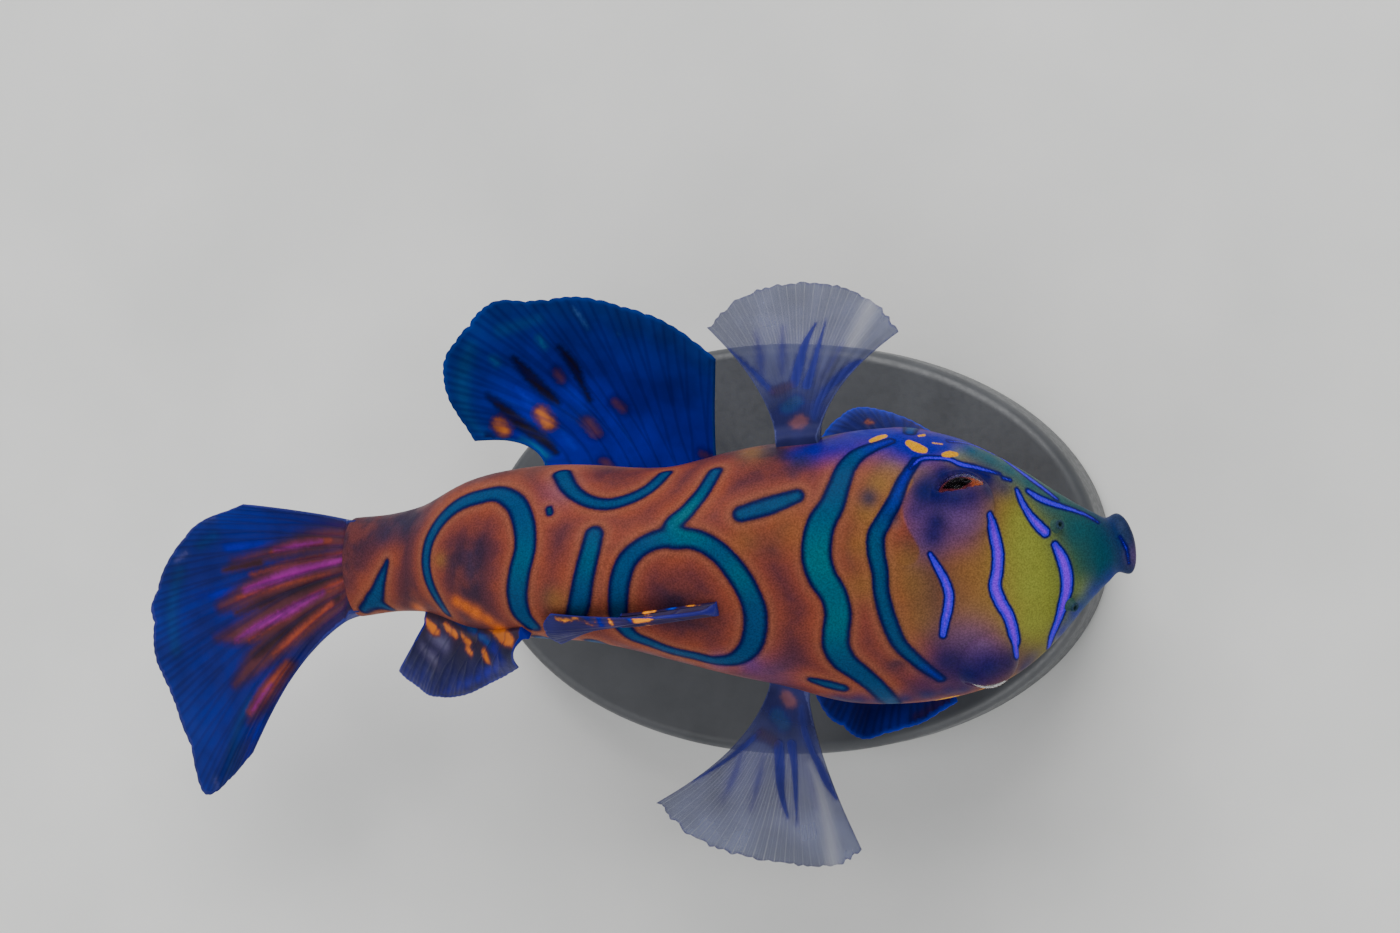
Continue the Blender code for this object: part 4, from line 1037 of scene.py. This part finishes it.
ANAL_TIPS = ((2.2, 13.0, -4.6), (-1.6, 15.8, -5.4), (-5.5, 16.9, -6.2), (-9.4, 16.9, -7.0),
             (-12.6, 15.9, -7.6), (-14.4, 13.2, -8.2), (-14.2, 10.4, -8.8), (-12.7, 8.0, -9.2))
anal_fin = fin_sheet(midline(25.0, 38.0, math.pi, 1.0, 0.35), ANAL_TIPS, 10, rows=70, scallop=0.035,
                     seed=5)
ANAL_STROKES = (
    ("teal", (0, 32, 112), (0, 58, 112), 0.5, (
        ((470, 345, 0.7), (462, 380, 0.9), (470, 420, 0.7), (490, 440, 0.5)),
        ((500, 330, 0.7), (540, 318, 0.6)), ((520, 442, 0.34), (534, 450, 0.46), (548, 458, 0.3)),
        ((494, 360, 0.34), (496, 362, 0.34)), ((541, 341, 0.3), (543, 343, 0.3)))),
    ("bright", (0, 10, 132), (0, 24, 160), 0.35, (
        ((562, 433, 0.34), (574, 448, 0.42)), ((516, 388, 0.3), (530, 404, 0.44)),
        ((556, 384, 0.3), (572, 394, 0.4), (586, 410, 0.3)))),
    ("sea", (0, 50, 112), (0, 92, 128), 0.3, (
        ((522, 441, 0.3), (534, 449, 0.5), (545, 456, 0.34)), ((539, 338, 0.26), (544, 346, 0.26)),
        ((492, 358, 0.2), (497, 363, 0.24)))),
    ("pale", (6, 32, 106), (60, 92, 150), 0.25, (
        ((572, 307, 0.26), (580, 316, 0.3), (588, 328, 0.2)), ((617, 331, 0.16), (619, 334, 0.16)))),
    ("brown", (4, 8, 56), (22, 12, 22), 0.26, (
        ((488, 395, 0.2), (505, 410, 0.4), (522, 425, 0.44), (540, 438, 0.4), (556, 453, 0.26)),
        ((513, 358, 0.2), (526, 372, 0.38), (536, 383, 0.42), (548, 394, 0.36), (558, 403, 0.2)),
        ((559, 347, 0.2), (574, 366, 0.38), (582, 384, 0.26), (590, 400, 0.2)),
        ((488, 436, 0.2), (503, 446, 0.34), (518, 457, 0.26)))),
    ("dim", (24, 12, 80), (76, 40, 62), 0.36, (
        ((588, 423, 0.62), (595, 433, 0.66)), ((615, 402, 0.46), (623, 409, 0.46)),
        ((605, 463, 0.6), (611, 470, 0.56)), ((557, 372, 0.46), (561, 379, 0.5)),
        ((702, 453, 0.4), (712, 458, 0.4)))),
    ("orange", (64, 34, 52), (176, 96, 42), 0.3, (
        ((499, 424, 0.6), (505, 431, 0.6)), ((541, 413, 0.58), (549, 424, 0.6)),
        ((502, 455, 0.46), (510, 461, 0.46)), ((626, 478, 0.14), (641, 471, 0.2)))),
)
ANAL_STOPS = ((0.0, 0, 8, 122), (0.3, 0, 0, 128), (0.65, 0, 6, 126), (0.9, 0, 26, 116),
              (1.0, 2, 40, 114))
ANAL_PAINT = fin_material("anal_fin_paint", ANAL_STOPS, (0, 2, 76), (0, 40, 116), ANAL_STROKES,
                          Specular_IOR_Level=0.04, Coat_Weight=0.0)[0]
make_fin("anal_fin", anal_fin, 0.45, ANAL_PAINT, "fin", painted_on(anal_fin, ANAL_STROKES),
         ridge=0.04)


# Dorsal fins
# The first dorsal has four soft spines and lies folded along the back. The second is half raised
# over the tail. Both are painted resin on the midline, their roots let into the skin.
FIRST_TIPS = ((-8.0, -2.7, 2.9), (-8.4, -3.4, 2.3), (-8.2, -4.1, 1.6), (-7.4, -4.6, 0.9))
SECOND_TIPS = ((-10.0, -6.0, -3.6), (-12.1, -7.2, -6.0), (-14.4, -7.9, -8.6),
               (-16.0, -7.5, -10.9), (-17.4, -6.2, -12.6))
first_dorsal = fin_sheet(midline(25.2, 30.4, 0.0, 0.5, 0.95), FIRST_TIPS, 4, per_ray=40, seed=7)
second_dorsal = fin_sheet(midline(36.6, 46.0, 0.0, 0.9, 0.6), SECOND_TIPS, 8, per_ray=24,
                          scallop=0.035, seed=9)
FIRST_STROKES = (
    ("deep", (8, 4, 110), (8, 0, 160), 0.12, (
        ((590, 607, 0.2), (604, 609, 0.24)), ((598, 616, 0.2), (602, 624, 0.2)),
        ((584, 614, 0.2), (588, 618, 0.2)))),
    ("bright", (6, 20, 110), (0, 60, 210), 0.14, (
        ((630, 619, 0.22), (634, 619, 0.22)), ((664, 609, 0.34), (674, 613, 0.34)))),
    ("orange", (80, 40, 50), (255, 156, 10), 0.1, (
        ((557, 618, 0.16), (566, 620, 0.2), (577, 618, 0.12)),
        ((585, 607, 0.1), (590, 613, 0.1), (601, 613, 0.06)), ((594, 614, 0.09), (597, 626, 0.05)),
        ((579, 619, 0.12), (582, 610, 0.1)), ((574, 617, 0.09), (593, 625, 0.07)),
        ((610, 619, 0.18), (612, 623, 0.18)), ((637, 619, 0.36), (646, 618, 0.42), (654, 616, 0.36)),
        ((677, 605, 0.1), (686, 609, 0.28), (693, 611, 0.2), (702, 611, 0.06)))),
)
FIRST_STOPS = ((0.0, 40, 26, 62), (0.5, 52, 42, 84), (1.0, 36, 34, 96))
FIRST_PAINT = fin_material("first_dorsal_paint", FIRST_STOPS, (16, 16, 84), (34, 30, 116),
                           FIRST_STROKES, rim_width=0.1)[0]
make_fin("dorsal_fin_first", first_dorsal, 0.4, FIRST_PAINT, "fin",
         painted_on(first_dorsal, FIRST_STROKES))
SECOND_STROKES = (
    ("clear", (52, 44, 84), (84, 80, 110), 0.4, (
        ((434, 636, 0.6), (446, 644, 0.7)), ((424, 648, 0.5), (436, 660, 0.6)))),
    ("blue", (6, 16, 100), (6, 60, 132), 0.2, (
        ((458, 616, 0.3), (468, 622, 0.42), (480, 631, 0.4)), ((484, 638, 0.34), (492, 646, 0.36)))),
    ("deep", (4, 2, 90), (2, 0, 132), 0.35, (
        ((494, 648, 0.5), (500, 660, 0.6), (488, 672, 0.6), (466, 684, 0.6), (444, 692, 0.5)),)),
    ("orange", (84, 40, 52), (212, 112, 28), 0.16, (
        ((417, 610, 0.3), (424, 616, 0.45)), ((429, 622, 0.4), (434, 628, 0.5), (438, 632, 0.35)),
        ((450, 628, 0.4), (457, 634, 0.42)), ((465, 637, 0.34), (470, 643, 0.34)),
        ((468, 648, 0.3), (472, 653, 0.3)), ((485, 652, 0.36), (488, 660, 0.36)),
        ((476, 613, 0.5), (488, 621, 0.45), (499, 628, 0.52), (508, 638, 0.6), (512, 642, 0.4)))),
)
SECOND_STOPS = ((0.0, 52, 28, 50), (0.35, 28, 24, 58), (0.65, 8, 8, 74), (1.0, 2, 4, 108))
SECOND_PAINT = fin_material("second_dorsal_paint", SECOND_STOPS, (10, 12, 60), (4, 12, 128),
                            SECOND_STROKES)[0]
make_fin("dorsal_fin_second", second_dorsal, 0.42, SECOND_PAINT, "fin",
         painted_on(second_dorsal, SECOND_STROKES))


# Pectoral fins
# Wide clear fans of fine rays on a short fleshy base, one behind each gill. They are cast in clear
# resin, a little milky along the rays, and let into the flanks by their bases.
def flank_starts(first, last, way):
    """Where a paired fin's rays start, from (station, degrees) of its first to that of its last.

    way holds how far the first and the last ray lean from the skin's normal.
    """
    def starts(places):
        at = first[0] + (last[0] - first[0]) * places
        turn = np.radians(first[1] + (last[1] - first[1]) * places)
        normals = skin_normals(at, turn)
        lean = np.array(way[0]) + (np.array(way[1]) - way[0]) * places[:, None]
        return skin_points(at, turn) + normals * ROOT_LIFT, normals, normals + lean
    return starts


PECTORAL_RIGHT = ((11.3, -17.4, -4.6), (9.6, -18.3, -5.6), (6.9, -18.2, -6.6), (3.4, -17.6, -7.2),
                  (0.6, -16.4, -7.4), (-1.4, -14.4, -7.2))
PECTORAL_LEFT = ((13.6, 14.8, 4.4), (12.0, 16.6, 4.2), (9.3, 17.7, 3.6), (6.2, 17.7, 2.8),
                 (3.6, 16.8, 2.0), (1.7, 15.0, 1.2))
PECTORAL_STROKES = (
    ("faint", (76, 78, 126), (44, 46, 126), 0.3, (
        ((742, 752, 0.3), (734, 776, 0.4), (722, 800, 0.2)),
        ((764, 756, 0.24), (758, 782, 0.36), (752, 808, 0.2)),
        ((805, 760, 0.16), (811, 780, 0.2), (818, 808, 0.14)),
        ((848, 806, 0.24), (858, 828, 0.24), (866, 850, 0.16)))),
    ("blue", (34, 40, 124), (2, 8, 120), 0.18, (
        ((802, 708, 0.24), (805, 730, 0.3), (813, 752, 0.3), (824, 774, 0.38), (834, 791, 0.4),
         (841, 802, 0.2)), ((779, 744, 0.4), (780, 766, 0.42), (782, 796, 0.3), (788, 818, 0.16)),
        ((792, 744, 0.4), (794, 762, 0.32), (796, 796, 0.22), (797, 824, 0.12)),
        ((760, 732, 0.24), (742, 748, 0.26), (722, 763, 0.22), (692, 781, 0.16), (662, 796, 0.1)))),
    ("brown", (50, 34, 70), (66, 36, 50), 0.24, (((763, 734, 0.5), (773, 740, 0.46)),)),
    ("teal", (6, 26, 112), (4, 66, 122), 0.2, (((778, 716, 0.66), (784, 724, 0.6)),)),
    ("orange", (60, 34, 60), (150, 84, 46), 0.2, (((788, 697, 0.6), (791, 701, 0.6)),)),
)
# The fan's paint is clearest here.
PECTORAL_GAP = (
    "gap", (((810, 764, 0.05), (820, 792, 0.3), (827, 822, 0.4), (832, 852, 0.45), (835, 876, 0.45)),))
PECTORAL_STOPS = ((0.0, 8, 6, 66), (0.22, 14, 14, 80), (0.36, 56, 60, 112), (0.5, 98, 102, 130),
                  (1.0, 122, 130, 146))


def clear_fin_material():
    """Clear paint, solid at the fan's base and in its strokes, and half solid along its rays."""
    material, tree, shader = fin_material(
        "pectoral_paint", PECTORAL_STOPS, (62, 64, 116), (70, 74, 124), PECTORAL_STROKES,
        ray_share=0.5, rim_width=0.12, Specular_IOR_Level=0.05, Coat_Weight=0.0)

    def within(stroke, soft_edge, share):
        return rise(tree, field(tree, stroke), soft_edge, -soft_edge, 0.0, share)

    left = calculate(tree, "SUBTRACT", 1.0, within("gap", 0.5, 0.4))
    along_rays = rise(tree, field(tree, "ray"), 0.13, 0.03, 0.4, 0.66)
    solid = calculate(tree, "MULTIPLY", along_rays, left)
    for other in (rise(tree, field(tree, "along"), 0.42, 0.2), within("blue", 0.2, 0.92),
                  within("faint", 0.3, 0.72)):
        solid = calculate(tree, "MAXIMUM", solid, other)
    wire(tree, shader, Alpha=solid)
    return material


CLEAR_PAINT = clear_fin_material()
for name, first, last, way, tips in (
        ("pectoral_fin_right", (19.6, 266), (22.0, 261), ((0.5, -0.9, 0.3), (-0.1, -0.9, 0.3)),
         PECTORAL_RIGHT),
        ("pectoral_fin_left", (19.6, -266), (22.0, -261), ((0.5, 0.9, 0), (-0.1, 0.9, 0)),
         PECTORAL_LEFT)):
    fan = fin_sheet(flank_starts(first, last, way), tips, 28, rows=64, per_ray=12, scallop=0.008,
                    ragged=0.008, billow=0.03, seed=11)
    if tips is PECTORAL_RIGHT:
        marks = painted_on(fan, (*PECTORAL_STROKES, PECTORAL_GAP))   # the left fan has the same
    make_fin(name, fan, 0.65, CLEAR_PAINT, "clear_fin", marks, ridge=0.045)


# Pelvic fins
# Broad fins of a few branched rays that hang from the throat, one on each side. They are painted
# resin like the tail fin, let into the skin below the gills.
PELVIC_RIGHT = ((17.2, -8.1, -6.6), (14.6, -9.6, -7.4), (11.8, -10.4, -8.4), (9.9, -9.7, -9.4),
                (8.4, -7.6, -10.6), (7.2, -4.9, -11.8))
PELVIC_LEFT = ((16.8, 7.9, -7.4), (14.2, 9.3, -8.0), (11.5, 10.1, -9.0), (9.8, 9.4, -10.0),
               (8.3, 7.4, -11.2), (7.2, 4.9, -12.2))
# On these a route holds the place across the fin, the share of the way out and the half width.
PELVIC_STROKES = (
    ("dusk", (24, 18, 90), (50, 26, 84), 0.4, (((0.0, 0.75, 0.5), (0.02, 0.95, 0.6), (0.2, 0.96, 0.4)),)),
    ("teal", (2, 20, 100), (4, 76, 116), 0.25, (
        ((0.28, 0.3, 0.4), (0.32, 0.36, 0.4)), ((0.6, 0.5, 0.4), (0.64, 0.54, 0.4)),
        ((0.8, 0.3, 0.3), (0.83, 0.34, 0.3)))),
    ("orange", (40, 20, 66), (160, 84, 40), 0.2, (
        ((0.12, 0.5, 0.26), (0.14, 0.58, 0.26)), ((0.46, 0.72, 0.3), (0.48, 0.76, 0.3)),
        ((0.76, 0.62, 0.24), (0.77, 0.66, 0.24)))),
)
PELVIC_STOPS = ((0.0, 6, 20, 112), (0.4, 4, 12, 92), (0.85, 8, 14, 96), (1.0, 10, 30, 150))
PELVIC_PAINT = fin_material("pelvic_paint", PELVIC_STOPS, (2, 6, 60), (16, 40, 170),
                            PELVIC_STROKES)[0]
FAN_SPAN = 10.0                # millimetres across and along such a fin, near enough


def laid_on(fin, route):
    """A route's places on a fin that the picture doesn't show, with their half widths."""
    rows, columns = fin["sheet"].shape[:2]
    across, out, halves = smooth_route(np.array(route) * (FAN_SPAN, FAN_SPAN, 1), 0.1).T
    column = np.clip(across / FAN_SPAN * (columns - 1), 0, columns - 1).astype(int)
    row = np.clip(out / FAN_SPAN * (rows - SINK_ROWS - 1), 0, rows - SINK_ROWS - 1).astype(int)
    return fin["sheet"][SINK_ROWS + row, column], halves


for name, first, last, way, tips in (
        ("pelvic_fin_right", (11.4, 222), (15.4, 216), ((-0.5, -0.5, 0),) * 2, PELVIC_RIGHT),
        ("pelvic_fin_left", (11.4, -222), (15.4, -216), ((-0.5, 0.5, 0),) * 2, PELVIC_LEFT)):
    fan = fin_sheet(flank_starts(first, last, way), tips, 7, rows=64, per_ray=26, scallop=0.035,
                    seed=13)
    make_fin(name, fan, 0.6, PELVIC_PAINT, "fin",
             painted_on(fan, PELVIC_STROKES, lay=laid_on, melt=0.35))


# Stand
# A plain oval base, turned from dark satin board stock, and one brushed steel rod in a collar. The
# rod's top is let into the belly.
BASE_LENGTH, BASE_WIDTH, BASE_HEIGHT, BASE_EDGE = 42.0, 27.0, 4.0, 0.8
BASE_FOOT = ((0.5, 0.0), (0.15, 0.15), (0.0, 0.5))   # inset and height of its eased lower edge
BASE_SIDES, ROD_SIDES = 192, 72
PINHOLE = 0.001                # what is left of a radius where a flat end closes
ROD_PLACE, ROD_RADIUS, ROD_SUNK = (4.0, -1.5), 1.15, 0.9
COLLAR_RADIUS, COLLAR_HEIGHT, COLLAR_EDGE, COLLAR_BEVEL = 3.0, 1.6, 0.35, 0.1
FILLET_OUT, FILLET_UP = 0.25, 0.2   # of the weld between collar and rod


def stand_materials():
    plate, tree, shader = new_material("stand_plate_satin", Coat_Weight=0.15, Coat_Roughness=0.3)
    grain, cloud = mottle(tree, 2600.0)
    grey = ramp(tree, cloud, ((0.3, 58, 60, 64), (0.7, 70, 72, 76)))
    finish(tree, shader, grey, grain, grain, (0.38, 0.52), 0.15, 0.00004)
    steel, tree, shader = new_material("stand_rod_steel", Metallic=1.0)
    place = node(tree, "TexCoord")["Object"]
    drawn = node(tree, "Mapping", {"Vector": place, "Scale": (9000.0, 9000.0, 300.0)})["Vector"]
    lines = node(tree, "TexNoise", {"Vector": drawn, "Scale": 1.0, "Detail": 3.0})["Fac"]
    bright = ramp(tree, lines, ((0.3, 168, 170, 174), (0.7, 204, 206, 210)))
    finish(tree, shader, bright, lines, lines, (0.24, 0.42), 0.1, 0.00003)
    return plate, steel


PLATE, STEEL = stand_materials()
along, across, up = np.eye(3)
corner = [(BASE_EDGE * (1 - math.sin(a)), BASE_HEIGHT - BASE_EDGE * (1 - math.cos(a)))
          for a in np.radians(np.linspace(90, 0, 9))]
oval = np.array((BASE_LENGTH, BASE_WIDTH)) / 2
base = [(*(oval - inset), height) for inset, height in (*BASE_FOOT, *corner)]
base = [(*(oval * PINHOLE), 0.0), *base, (*(oval * PINHOLE), BASE_HEIGHT)]
rings = turned(base, BASE_SIDES, np.zeros(3), up, along, across)
new_piece("stand_base_plate", rings, grid_faces(*rings.shape[:2], True), PLATE,
          "stand_plate", "stand_base", place=Matrix())

rod_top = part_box("stand_rod")[1][2] / MM + ROD_SUNK
collar_top = BASE_HEIGHT + COLLAR_HEIGHT
profile = ((PINHOLE, BASE_HEIGHT), (COLLAR_RADIUS - COLLAR_BEVEL, BASE_HEIGHT),
           (COLLAR_RADIUS, BASE_HEIGHT + COLLAR_BEVEL), (COLLAR_RADIUS, collar_top - COLLAR_EDGE),
           (COLLAR_RADIUS - COLLAR_BEVEL, collar_top - COLLAR_BEVEL),
           (COLLAR_RADIUS - COLLAR_EDGE, collar_top), (ROD_RADIUS + FILLET_OUT, collar_top),
           (ROD_RADIUS, collar_top + FILLET_UP), (ROD_RADIUS, rod_top), (PINHOLE, rod_top))
rings = turned(profile, ROD_SIDES, np.array((*ROD_PLACE, 0.0)), up, along, across)
rod = new_piece("stand_rod_steel", rings, grid_faces(*rings.shape[:2], True), STEEL,
                "stand_metal", "stand_rod", place=Matrix())
rod.data.set_sharp_from_angle(angle=math.radians(40))
